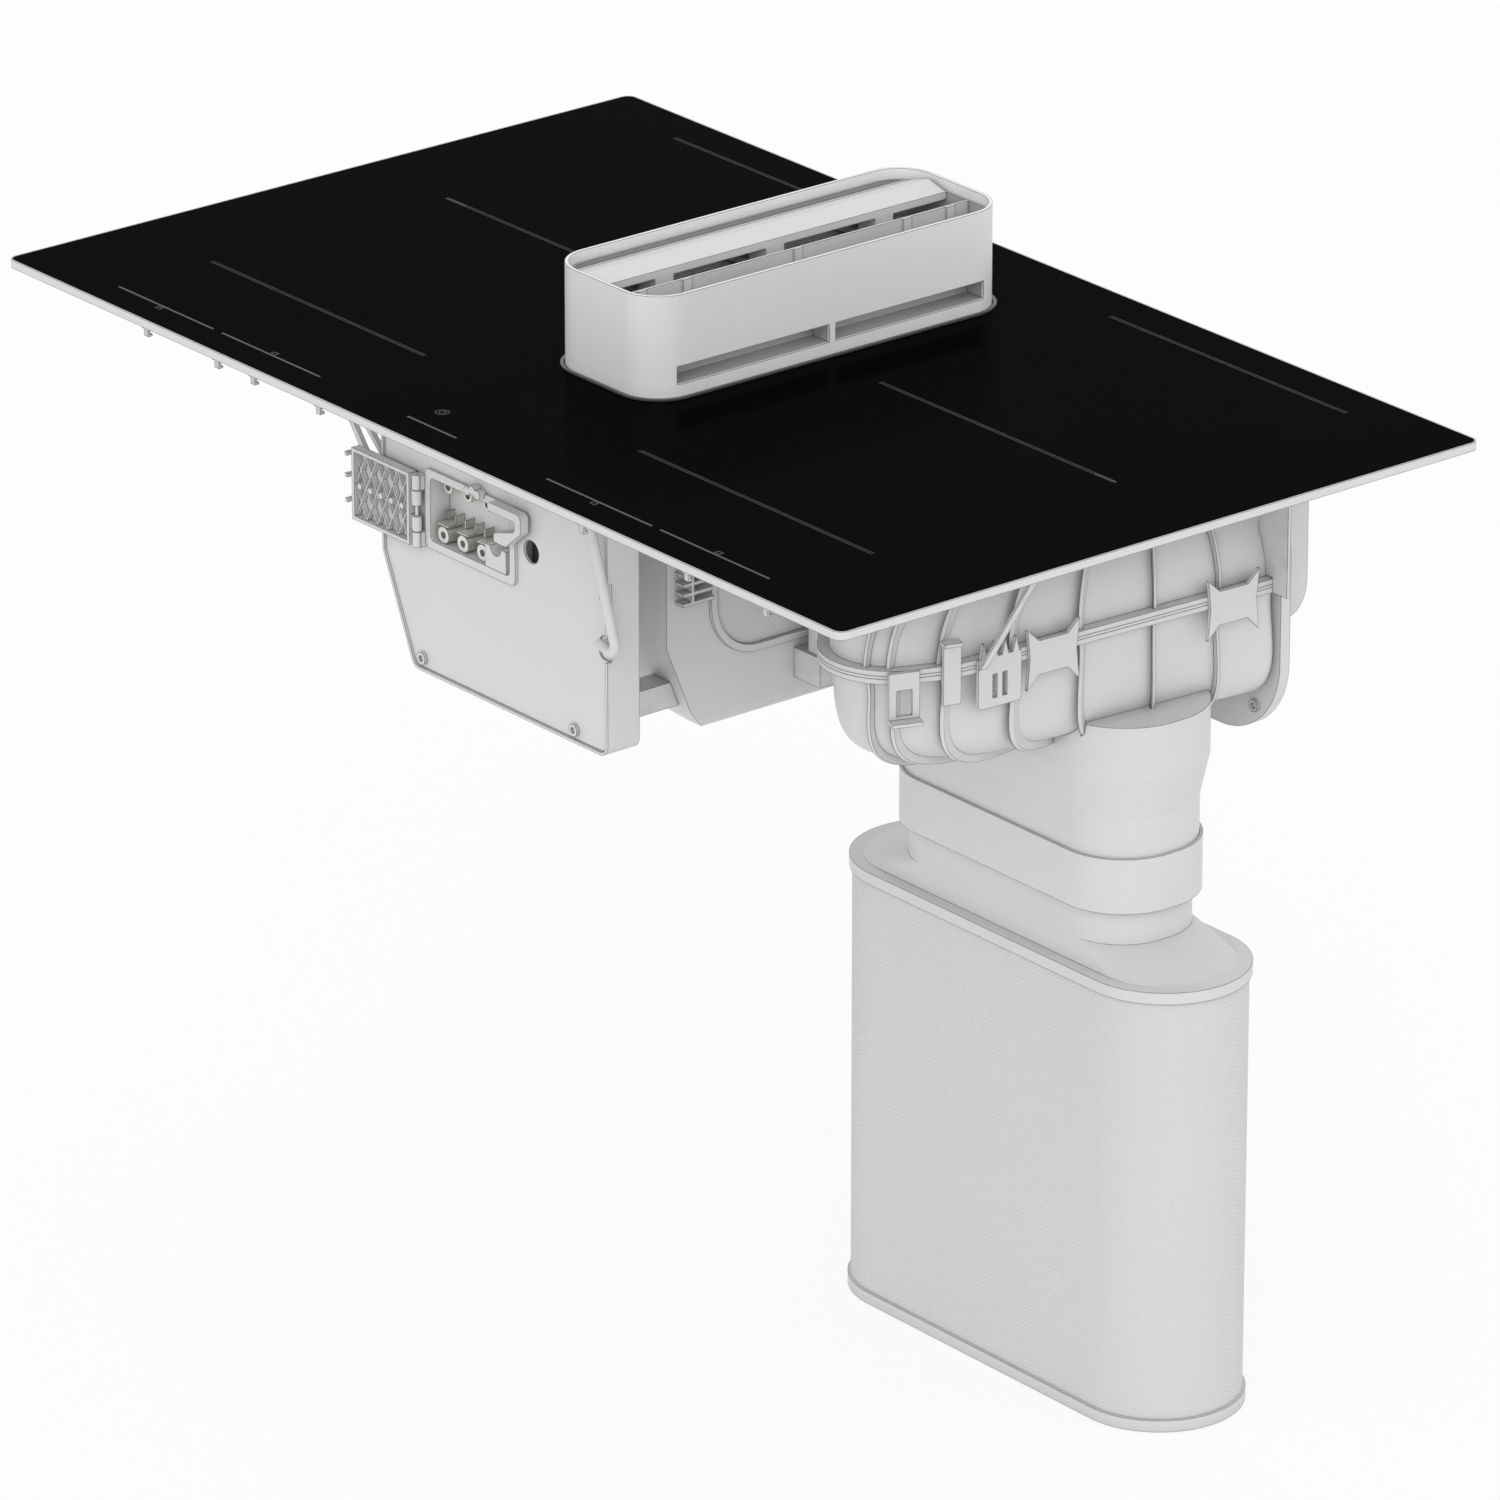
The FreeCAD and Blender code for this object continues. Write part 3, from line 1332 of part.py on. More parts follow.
def housing_shell(levels, start, end, inward):
    """Half of the housing: a thin bowl with ribs outside and a flange at the parting plane."""
    body = housing_solid(levels, start, end, 0)
    hollow = housing_solid(levels, start - inward * beyond, end - inward * blower_wall, -blower_wall)
    ribbed = housing_solid(levels, start, end + inward * rib_height, rib_height)
    low = min(start, end + 2 * inward * rib_height)
    high = max(start, end + 2 * inward * rib_height)
    edge = start + inward * flange_thickness
    pieces = [body, flange_plate(flange_width, min(start, edge), max(start, edge))]
    for sheet in rib_slabs(rib_thickness, low, high):
        pieces.append(ribbed.common(sheet))
    return join(pieces).cut(hollow)


def make_blower():
    crown = -blower_top_depth
    keel = -blower_bottom_depth
    upper = housing_shell(upper_levels, parting_high, crown, 1)
    keep("blower_upper_shell", upper.cut(spout_section(spout_wall, blower_left - spout_height,
                                                       blower_left + 2 * spout_height)))
    lower = housing_shell(lower_levels, parting_low, keel, -1)
    mouth = slab(outlet_x, outlet_y, bowl_outlet_length, bowl_outlet_depth, bowl_outlet_corner,
                 keel - 2 * rib_height, -shoulder_top)
    keep("blower_lower_shell", lower.cut(mouth))
    plate = flange_plate(flange_width, parting_low, parting_high)
    keep("fan_plate", plate.cut(post(outlet_x, outlet_y, inlet_radius, parting_low - beyond, parting_high + beyond)))


def make_fan():
    top = parting_low - impeller_clearance
    bottom = top - impeller_height
    pieces = [
        post(outlet_x, outlet_y, impeller_hub_radius, bottom, top),
        post(outlet_x, outlet_y, impeller_radius, bottom, bottom + impeller_disc),
        post(outlet_x, outlet_y, impeller_radius, top - impeller_disc, top).cut(
            post(outlet_x, outlet_y, inlet_radius, top - 2 * impeller_disc, top + beyond)),
    ]
    within = post(outlet_x, outlet_y, impeller_radius - impeller_disc / 2, bottom, top)
    bend_x = outlet_x + impeller_hub_radius + impeller_blade_bend / 2
    bend_y = outlet_y + impeller_blade_bend
    arc = post(bend_x, bend_y, impeller_blade_bend, bottom, top)
    arc = arc.cut(post(bend_x, bend_y, impeller_blade_bend - impeller_blade_sheet, bottom - beyond, top + beyond))
    arc = arc.common(block(bend_x, outlet_x + 2 * impeller_radius, outlet_y - impeller_radius, bend_y, bottom, top))
    arc = arc.common(within)
    for index in range(impeller_blades):
        pieces.append(turned(arc, 360 / impeller_blades * index, outlet_x, outlet_y))
    spindle_end = bottom + impeller_disc
    bore = post(outlet_x, outlet_y, motor_shaft_radius + running_gap, spindle_end - contact_gap, top + beyond)
    keep("impeller", join(pieces).cut(bore))
    crown = -blower_top_depth - blower_wall
    can_bottom = crown - blower_motor_length
    keep("blower_motor", join([
        post(outlet_x, outlet_y, blower_motor_radius, can_bottom, crown),
        post(outlet_x, outlet_y, motor_shaft_radius, spindle_end, crown - blower_motor_length / 2),
    ]))


def on_flange(shape, y):
    """Fitting drawn against the plane X=0 about Y=0, set on the right flange at depth y."""
    ahead = 10.0
    lean = math.atan2(edge_x(y + ahead) - edge_x(y - ahead), 2 * ahead)
    copy = shape.copy()
    copy.rotate(V(0, 0, 0), V(0, 0, 1), -math.degrees(lean))
    copy.translate(V(edge_x(y) + flange_width * math.cos(lean), y - flange_width * math.sin(lean), 0))
    return largest(copy.cut(flange_plate(flange_width + contact_gap / 2, flange_low, flange_high)))


def make_fittings():
    sheet = fitting_sheet
    half = latch_plate_width / 2
    plate = prism([(-half, flange_high, 0), (-half, flange_low - latch_drop, sheet),
                   (half, flange_low - latch_drop, sheet), (half, flange_high, 0)], sideways_at(0), V(sheet, 0, 0))
    plate = plate.cut(block(-beyond, sheet + beyond, -half / 3, half / 3, flange_low - latch_drop * 0.75,
                            flange_low - sheet))
    pieces = [plate, block(0, sheet, -half / 8, half / 8, flange_low - latch_drop * 0.8, flange_low)]
    for share in (-0.75, -0.25, 0.25, 0.75):
        pieces.append(prism(sharp([(share * half - sheet, flange_high), (share * half + sheet, flange_high),
                                   (share * half, flange_high + latch_rise)]), sideways_at(0), V(sheet, 0, 0)))
    latch = on_flange(join(pieces), latch_y)
    stem = block(0, sheet, -clip_width / 2, clip_width / 2, flange_low - clip_drop, flange_high + clip_rise)
    head = block(-sheet, 2 * sheet, -clip_width / 2, clip_width / 2, flange_high + clip_rise - sheet,
                 flange_high + clip_rise)
    clip = on_flange(join([stem, head]), clip_y)
    plate = block(0, sheet, -hook_plate_width / 2, hook_plate_width / 2, flange_low - hook_plate_drop, flange_high)
    plate = plate.cut(block(-beyond, sheet + beyond, -hook_plate_width / 4, hook_plate_width / 4,
                            flange_low - 0.8 * hook_plate_drop, flange_low - sheet))
    toe = block(0, 4 * sheet, -hook_plate_width / 2, hook_plate_width / 2, flange_low - hook_plate_drop,
                flange_low - hook_plate_drop + sheet)
    hook = on_flange(join([plate, toe]), hook_y)

    stars = []
    for y in star_ys:
        reach = star_half
        waist = reach * 0.55
        star = prism(sharp([
            (-reach, flange_high + waist), (-waist, flange_high + sheet), (waist, flange_high + sheet),
            (reach, flange_high + waist), (0.9 * reach, flange_low), (reach, flange_low - reach),
            (waist, flange_low - waist), (-waist, flange_low - waist), (-reach, flange_low - reach),
            (-0.9 * reach, flange_low),
        ]), sideways_at(0), V(sheet, 0, 0))
        stars.append(on_flange(star, y))
    keep("flange_clips", latch, clip, hook, *stars)

    top = -pan_depth
    hanger = block(hanger_left, hanger_right, hanger_y - hanger_sheet / 2, hanger_y + hanger_sheet / 2,
                   flange_low, top)
    tab = block(hanger_left, hanger_right, hanger_y - 4 * hanger_sheet, hanger_y, top - hanger_sheet, top)
    keepout = flange_plate(flange_width + contact_gap / 2, flange_low - beyond, flange_high + beyond)
    hanger = join([hanger, tab]).cut(keepout)
    hanger = hanger.cut(housing_solid(upper_levels, parting_high, -blower_top_depth, contact_gap))
    strap_x = edge_x(strap_y + strap_run) + flange_width + fitting_sheet + contact_gap
    strap = prism(sharp([
        (strap_y, flange_high - flange_thickness), (strap_y + strap_width, flange_high - flange_thickness),
        (strap_y + strap_run, top), (strap_y + strap_run - strap_width, top),
    ]), sideways_at(strap_x), V(strap_sheet, 0, 0))
    keep("blower_hangers", largest(hanger), strap)

    foot = block(well_half_width, bracket_right, bracket_front, bracket_back, -bracket_bottom, -bracket_top)
    middle = (bracket_front + bracket_back) / 2
    arm = block(bracket_right - bracket_arm, bracket_right + bracket_arm, middle - bracket_arm / 2,
                middle + bracket_arm / 2, -bracket_top, flange_low)
    shape = join([foot, arm]).cut(bead_loop(contact_gap)).cut(well_solid(contact_gap, glass_bottom))
    shape = shape.cut(housing_solid(lower_levels, parting_low, -blower_bottom_depth, contact_gap))
    keep("blower_bracket", largest(shape))


def make_rear():
    y0 = blower_back
    y1 = y0 + rear_plate_thickness
    plate = prism(span(rear_plate_left, rear_plate_right, -rear_plate_bottom, -rear_plate_top, rear_plate_corner),
                  upright_at(y0), V(0, rear_plate_thickness, 0))
    inset = rear_plate_corner * 0.4
    x = rear_plate_right - inset
    z = -rear_plate_bottom + inset
    plate = plate.cut(bar_y(x, z, screw_radius + running_gap, y0 - beyond, y1 + beyond))
    keep("rear_flange", plate)
    corners = span(rear_housing_left, rear_housing_right, -rear_housing_bottom, -rear_housing_top,
                   rear_housing_corner)
    outer = prism(corners, upright_at(y1), V(0, rear_housing_depth, 0))
    inner = prism(offset_corners(corners, -rear_housing_wall), upright_at(y1 - beyond),
                  V(0, rear_housing_depth - rear_housing_wall + beyond, 0))
    keep("rear_housing", outer.cut(inner))
    return [casing_screw(x, z, y0)]


# Outlet adapter, collar and filter cartridge
def outlet_rectangle(grow):
    """Corners of the outlet, measured from the bore of the collar."""
    inset = collar_wall + collar_gap - grow
    return rectangle(outlet_x, outlet_y, collar_length - 2 * inset, collar_depth - 2 * inset, collar_corner - inset)


def adapter_solid(shrink, roof, end):
    """Adapter from its roof down to its spigot, or its hollow when shrunk by the wall."""
    wide = outlet_rectangle(shoulder_margin - shrink)
    tight = outlet_rectangle(-shrink)
    head = prism(wide, flat_at(-shoulder_bottom), V(0, 0, shoulder_bottom + roof))
    taper = Part.makeLoft([outline(wide, flat_at(-shoulder_bottom)), outline(tight, flat_at(-taper_bottom))],
                          True, True)
    spigot = prism(tight, flat_at(end), V(0, 0, -taper_bottom - end))
    return join([head, taper, spigot])


def make_outlet():
    end = -collar_top - spigot_reach
    body = adapter_solid(0, -shoulder_top, end).cut(well_solid(contact_gap, glass_bottom))
    hollow = adapter_solid(outlet_wall, -shoulder_top - outlet_wall, end - beyond)
    hollow = hollow.cut(well_solid(contact_gap + outlet_wall, glass_bottom))
    bowl = housing_solid(lower_levels, parting_low, -blower_bottom_depth, contact_gap)
    ribs = housing_solid(lower_levels, parting_low, -blower_bottom_depth - rib_height, rib_height + contact_gap)
    adapter = body.cut(hollow).cut(bowl)
    for sheet in rib_slabs(rib_thickness + 2 * contact_gap, -blower_bottom_depth - 2 * rib_height, parting_low):
        adapter = adapter.cut(ribs.common(sheet))
    keep("outlet_adapter", largest(adapter))

    bottom = -collar_top - collar_height
    outer = slab(outlet_x, outlet_y, collar_length, collar_depth, collar_corner, bottom, -collar_top)
    bore = prism(outlet_rectangle(collar_gap), flat_at(bottom + collar_wall), V(0, 0, collar_height))
    neck = rectangle(outlet_x, outlet_y, collar_length - 2 * neck_inset, collar_depth - 2 * neck_inset,
                     collar_corner - neck_inset)
    mouth = prism(offset_corners(neck, neck_gap), flat_at(bottom - beyond), V(0, 0, collar_wall + 2 * beyond))
    keep("duct_collar", outer.cut(bore).cut(mouth))
    make_filter(neck, bottom + collar_wall)


def make_filter(neck, neck_top):
    top = -filter_top
    bottom = -filter_top - filter_height
    round_end = filter_depth / 2
    cap = slab(outlet_x, outlet_y, filter_length, filter_depth, round_end, top - filter_cap_height, top)
    foot = rectangle(outlet_x, outlet_y, filter_length - 2 * filter_step_inset,
                     filter_depth - 2 * filter_step_inset, round_end - filter_step_inset - contact_gap)
    funnel = Part.makeLoft([outline(foot, flat_at(top)), outline(neck, flat_at(top + filter_step_height))],
                           True, True)
    pipe = prism(neck, flat_at(top), V(0, 0, neck_top - top))
    way = prism(offset_corners(neck, -neck_wall), flat_at(top - filter_cap_height - beyond),
                V(0, 0, neck_top - top + filter_cap_height + 2 * beyond))
    keep("filter_top_cap", join([cap, funnel, pipe]).cut(way))
    body_top = top - filter_cap_height
    body_bottom = bottom + filter_cap_height
    sleeve_length = filter_length - 2 * filter_cap_lip
    sleeve_depth = filter_depth - 2 * filter_cap_lip
    keep("filter_sleeve", tube(outlet_x, outlet_y, sleeve_length, sleeve_depth, sleeve_depth / 2,
                               filter_sleeve_wall, body_bottom, body_top))
    room = 2 * (filter_sleeve_wall + contact_gap)
    keep("filter_media", tube(outlet_x, outlet_y, sleeve_length - room, sleeve_depth - room,
                              (sleeve_depth - room) / 2, media_thickness, body_bottom, body_top))
    keep("filter_bottom_cap", slab(outlet_x, outlet_y, filter_length, filter_depth, round_end, bottom, body_bottom))


def main():
    make_glass()
    make_tray()
    make_heaters()
    make_boards()
    make_well(housing_solid(upper_levels, parting_high, -blower_top_depth, contact_gap))
    make_tower()
    make_lift()
    make_grille()
    screws = make_casing()
    make_terminals()
    make_lid()
    make_lead()
    make_supports()
    make_blower()
    make_fan()
    make_fittings()
    screws += make_rear()
    keep("screws", *screws)
    make_outlet()
    os.makedirs("parts", exist_ok=True)
    for name, solids in parts.items():
        shape = solids[0] if len(solids) == 1 else Part.makeCompound(solids)
        if not shape.isValid():
            raise ValueError(name + " is not valid")
        shape.exportStep("parts/" + name + ".step")
        print("%-20s solids %2d volume %9.0f" % (name, len(solids), shape.Volume))


main()
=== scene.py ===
import json
import math

import bmesh
import bpy
from bpy.props import BoolProperty, FloatProperty, FloatVectorProperty, IntProperty, PointerProperty
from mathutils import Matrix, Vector


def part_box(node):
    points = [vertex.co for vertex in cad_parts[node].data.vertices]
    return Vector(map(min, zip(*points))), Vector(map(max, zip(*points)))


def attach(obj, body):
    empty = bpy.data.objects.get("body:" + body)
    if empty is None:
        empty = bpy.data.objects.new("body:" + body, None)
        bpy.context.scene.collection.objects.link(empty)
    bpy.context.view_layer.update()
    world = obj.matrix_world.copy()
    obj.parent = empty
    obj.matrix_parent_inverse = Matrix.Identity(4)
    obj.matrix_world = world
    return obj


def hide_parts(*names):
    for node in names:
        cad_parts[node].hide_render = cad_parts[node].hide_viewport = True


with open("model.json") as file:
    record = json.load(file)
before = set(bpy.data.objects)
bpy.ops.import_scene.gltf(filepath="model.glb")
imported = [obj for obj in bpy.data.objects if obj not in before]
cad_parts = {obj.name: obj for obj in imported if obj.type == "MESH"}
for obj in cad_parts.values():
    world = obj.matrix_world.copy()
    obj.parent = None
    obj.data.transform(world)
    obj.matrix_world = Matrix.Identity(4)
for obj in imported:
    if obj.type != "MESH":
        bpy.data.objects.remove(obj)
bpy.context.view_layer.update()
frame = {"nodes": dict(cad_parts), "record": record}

bl_info = {
    "name": "Downdraft cooktop looks",
    "version": (1, 0, 0),
    "blender": (4, 5, 0),
    "location": "3D View > Sidebar > Cooktop",
    "description": "Dresses the cooktop's solids with finishes, printed marks, light and a camera",
    "category": "Object",
}

MM = 0.001
GLASS_TOP_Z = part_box("glass_top")[1].z
FLOOR_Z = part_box("filter_bottom_cap")[0].z - MM


class PrintSettings(bpy.types.PropertyGroup):
    """Sizes of the marks printed on the glass"""

    line_gap: FloatProperty(name="Line gap", description="Between the two strokes of a zone line",
                            default=2.0 * MM, unit="LENGTH")
    stroke: FloatProperty(name="Stroke", description="Width of one printed stroke",
                          default=0.45 * MM, unit="LENGTH")
    slider_stroke: FloatProperty(name="Slider stroke", description="Half the width of a finger slider",
                                 default=0.85 * MM, unit="LENGTH")
    ink: FloatProperty(name="Ink thickness", description="How far the ink stands on the glass",
                       default=0.06 * MM, unit="LENGTH")
    hatch_count: IntProperty(name="Hatch strokes", description="Slanted strokes in each end block",
                             default=9, min=2, max=40)
    hatch_pitch: FloatProperty(name="Hatch pitch", description="Step between slanted strokes",
                               default=2.2 * MM, unit="LENGTH")
    ring_radius: FloatProperty(name="Switch ring", description="Radius of the switch mark",
                               default=4.6 * MM, unit="LENGTH")
    colour: FloatVectorProperty(name="Ink colour", description="Enamel colour of the marks",
                                subtype="COLOR", size=3, default=(0.09, 0.09, 0.09), min=0, max=1)


class FinishSettings(bpy.types.PropertyGroup):
    """Colours and surface sizes shared by the finishes"""

    body: FloatVectorProperty(name="Body grey", description="Moulded housings and ducts",
                              subtype="COLOR", size=3, default=(0.63, 0.63, 0.63), min=0, max=1)
    metal: FloatVectorProperty(name="Metal grey", description="Sheet metal and blades",
                               subtype="COLOR", size=3, default=(0.66, 0.66, 0.66), min=0, max=1)
    # Painted light: brighter than the metal grey, making up for the bounce light the tower misses above the
    # black glass.
    panel: FloatVectorProperty(name="Panel grey", description="Satin steel of the tower",
                               subtype="COLOR", size=3, default=(0.84, 0.84, 0.84), min=0, max=1)
    glass: FloatVectorProperty(name="Glass black", description="Ceramic glass",
                               subtype="COLOR", size=3, default=(0.0015, 0.0015, 0.0017), min=0, max=1)
    # Painted shade: a darker copy of the body grey for the parts that sit in the shade deep inside the
    # tower.
    inner: FloatVectorProperty(name="Inner grey", description="Moulded parts inside the tower",
                               subtype="COLOR", size=3, default=(0.40, 0.40, 0.40), min=0, max=1)
    edge_width: FloatProperty(name="Edge line", description="Width of the darkened line along edges",
                              default=1.0 * MM, unit="LENGTH")
    smooth_angle: FloatProperty(name="Smooth angle", description="Edges sharper than this stay crisp",
                                default=math.radians(28), subtype="ANGLE")


class StageSettings(bpy.types.PropertyGroup):
    """Camera, floor and light"""

    camera_place: FloatVectorProperty(name="Camera place", description="Where the camera stands",
                                      subtype="TRANSLATION", size=3, default=(5.2690, -4.2554, 2.5047))
    camera_turn: FloatVectorProperty(name="Camera turn", description="The camera's rotation",
                                     subtype="EULER", size=3,
                                     default=(math.radians(67.7398), 0.0, math.radians(50.9586)))
    lens: FloatProperty(name="Lens", description="Focal length in millimetres", default=276.0)
    sky_level: FloatProperty(name="Sky level", description="Soft light from all round", default=0.92)
    sun_level: FloatProperty(name="Sun level", description="Strength of the broad key light", default=0.8)
    sun_spread: FloatProperty(name="Sun spread", description="How broad the key light is",
                              default=math.radians(50), subtype="ANGLE")
    sun_way: FloatVectorProperty(name="Sun way", description="The way the key light travels",
                                 subtype="DIRECTION", size=3, default=(-0.70, 0.60, -0.45))
    floor_half: FloatProperty(name="Floor half width", description="Half the floor's side",
                              default=9.0, unit="LENGTH")
    show_floor: BoolProperty(name="Show floor", description="Add the pale floor", default=True)


def settings():
    """The print, finish and stage settings of the open scene."""
    scene = bpy.context.scene
    return scene.cooktop_print, scene.cooktop_finish, scene.cooktop_stage


def link(tree, source, target):
    tree.links.new(source, target)


def node(tree, kind, **values):
    """New node with its attributes set."""
    made = tree.nodes.new(kind)
    for name, value in values.items():
        setattr(made, name, value)
    return made


def group(name, inputs, outputs):
    """Empty shader node group with its named sockets."""
    tree = bpy.data.node_groups.new(name, "ShaderNodeTree")
    for label, kind in inputs:
        tree.interface.new_socket(label, in_out="INPUT", socket_type=kind)
    for label, kind in outputs:
        tree.interface.new_socket(label, in_out="OUTPUT", socket_type=kind)
    return tree, tree.nodes.new("NodeGroupInput"), tree.nodes.new("NodeGroupOutput")


def math_node(tree, operation, first, second):
    """Result of one sum on two numbers or sockets."""
    made = node(tree, "ShaderNodeMath", operation=operation)
    for socket, value in zip(made.inputs, (first, second)):
        if isinstance(value, (int, float)):
            socket.default_value = value
        else:
            link(tree, value, socket)
    return made.outputs[0]


def remap(tree, value, low, high, to_low, to_high):
    """Value moved from one range to another."""
    made = node(tree, "ShaderNodeMapRange")
    link(tree, value, made.inputs["Value"])
    for socket, number in zip(made.inputs[1:5], (low, high, to_low, to_high)):
        socket.default_value = number
    return made.outputs["Result"]


def noise(tree, vector, scale, detail):
    """Soft noise at a scale that is a number or a socket."""
    made = node(tree, "ShaderNodeTexNoise")
    link(tree, vector, made.inputs["Vector"])
    if isinstance(scale, (int, float)):
        made.inputs["Scale"].default_value = scale
    else:
        link(tree, scale, made.inputs["Scale"])
    made.inputs["Detail"].default_value = detail
    return made.outputs["Fac"]


SHADER_SAMPLES = 6
# Turn of the rounded normal where an edge line starts, and where it is full.
LINE_START = 0.012
LINE_FULL = 0.08


def edge_line_group():
    """Mask that is 1 along convex and concave edges."""
    tree, start, end = group("edge_line", [("Width", "NodeSocketFloat")], [("Mask", "NodeSocketFloat")])
    rounded = node(tree, "ShaderNodeBevel", samples=SHADER_SAMPLES)
    link(tree, start.outputs["Width"], rounded.inputs["Radius"])
    surface = node(tree, "ShaderNodeNewGeometry")
    along = node(tree, "ShaderNodeVectorMath", operation="DOT_PRODUCT")
    link(tree, rounded.outputs["Normal"], along.inputs[0])
    link(tree, surface.outputs["Normal"], along.inputs[1])
    turned = math_node(tree, "SUBTRACT", 1.0, along.outputs["Value"])
    link(tree, remap(tree, turned, LINE_START, LINE_FULL, 0.0, 1.0), end.inputs["Mask"])
    return tree


BROAD_SHARE = 0.7
BROAD_SCALE = 7.0
BROAD_DETAIL = 4.0
FINE_SCALE = 90.0
FINE_DETAIL = 3.0
MIDDLE = 0.5
# Painted shade in hollows: how far a hollow is felt, the openness over which the painted shade thins out,
# and its tone.
HOLLOW_REACH = 12.0 * MM
HOLLOW_RANGE = (0.35, 0.9)
HOLLOW_SHADE_TONE = 0.80


def tone_group():
    """Slow change of tone over a surface, and painted shade darkening its hollows."""
    tree, start, end = group("tone_and_hollow_shade",
                             [("Vector", "NodeSocketVector"), ("Amount", "NodeSocketFloat")],
                             [("Tone", "NodeSocketFloat"), ("Cloud", "NodeSocketFloat")])
    broad = noise(tree, start.outputs["Vector"], BROAD_SCALE, BROAD_DETAIL)
    fine = noise(tree, start.outputs["Vector"], FINE_SCALE, FINE_DETAIL)
    mixed = math_node(tree, "ADD", math_node(tree, "MULTIPLY", broad, BROAD_SHARE),
                      math_node(tree, "MULTIPLY", fine, 1.0 - BROAD_SHARE))
    swing = math_node(tree, "MULTIPLY", math_node(tree, "SUBTRACT", mixed, MIDDLE), start.outputs["Amount"])
    # Painted shade: the colour is darkened where ambient occlusion finds nearby geometry.
    hollow = node(tree, "ShaderNodeAmbientOcclusion", samples=SHADER_SAMPLES)
    hollow.inputs["Distance"].default_value = HOLLOW_REACH
    hollow_shade = remap(tree, hollow.outputs["AO"], *HOLLOW_RANGE, HOLLOW_SHADE_TONE, 1.0)
    tone = math_node(tree, "MULTIPLY", math_node(tree, "ADD", swing, 1.0), hollow_shade)
    link(tree, tone, end.inputs["Tone"])
    link(tree, mixed, end.inputs["Cloud"])
    return tree


GRAIN_DETAIL = 2.0
STREAK_DETAIL = 5.0
THREADS = ((1.0, 1.0, 0.0), (0.0, 0.0, 1.4142))


def grain_group():
    """Fine leathery grain of a spark-eroded mould."""
    tree, start, end = group("mould_grain",
                             [("Vector", "NodeSocketVector"), ("Scale", "NodeSocketFloat")],
                             [("Height", "NodeSocketFloat")])
    cells = node(tree, "ShaderNodeTexVoronoi")
    link(tree, start.outputs["Vector"], cells.inputs["Vector"])
    link(tree, start.outputs["Scale"], cells.inputs["Scale"])
    speck = noise(tree, start.outputs["Vector"], start.outputs["Scale"], GRAIN_DETAIL)
    link(tree, math_node(tree, "ADD", cells.outputs["Distance"], speck), end.inputs["Height"])
    return tree


def brushed_group():
    """Long fine streaks left by brushing, along the axis with the small stretch."""
    tree, start, end = group("brushed_streaks",
                             [("Vector", "NodeSocketVector"), ("Stretch", "NodeSocketVector")],
                             [("Height", "NodeSocketFloat")])
    drawn = node(tree, "ShaderNodeVectorMath", operation="MULTIPLY")
    link(tree, start.outputs["Vector"], drawn.inputs[0])
    link(tree, start.outputs["Stretch"], drawn.inputs[1])
    link(tree, noise(tree, drawn.outputs["Vector"], 1.0, STREAK_DETAIL), end.inputs["Height"])
    return tree


def spangle_group():
    """Crystal flowers of hot-dipped zinc."""
    tree, start, end = group("zinc_spangle",
                             [("Vector", "NodeSocketVector"), ("Scale", "NodeSocketFloat")],
                             [("Height", "NodeSocketFloat")])
    crystals = node(tree, "ShaderNodeTexVoronoi")
    link(tree, start.outputs["Vector"], crystals.inputs["Vector"])
    link(tree, start.outputs["Scale"], crystals.inputs["Scale"])
    grey = node(tree, "ShaderNodeSeparateColor")
    link(tree, crystals.outputs["Color"], grey.inputs["Color"])
    link(tree, grey.outputs["Red"], end.inputs["Height"])
    return tree


def weave_group():
    """Plain weave of threads running up and around."""
    tree, start, end = group("plain_weave",
                             [("Vector", "NodeSocketVector"), ("Scale", "NodeSocketFloat")],
                             [("Height", "NodeSocketFloat")])
    threads = []
    for direction in THREADS:
        turned = node(tree, "ShaderNodeVectorMath", operation="DOT_PRODUCT")
        link(tree, start.outputs["Vector"], turned.inputs[0])
        turned.inputs[1].default_value = direction
        phase = math_node(tree, "MULTIPLY", turned.outputs["Value"], start.outputs["Scale"])
        threads.append(math_node(tree, "SINE", math_node(tree, "MULTIPLY", phase, math.pi), 0.0))
    crossed = math_node(tree, "MULTIPLY", threads[0], threads[1])
    link(tree, math_node(tree, "ADD", crossed, MIDDLE), end.inputs["Height"])
    return tree


def shared(name, build):
    """A shader node group, built the first time it is asked for."""
    return bpy.data.node_groups.get(name) or build()


PATTERNS = {
    "moulded": ("mould_grain", grain_group, "Scale"),
    "brushed": ("brushed_streaks", brushed_group, "Stretch"),
    "spangle": ("zinc_spangle", spangle_group, "Scale"),
    "woven": ("plain_weave", weave_group, "Scale"),
}
CLOUD_RANGE = (0.2, 0.8)
ROUGHNESS_SWING = 0.06
BUMP_STRENGTH = 0.5


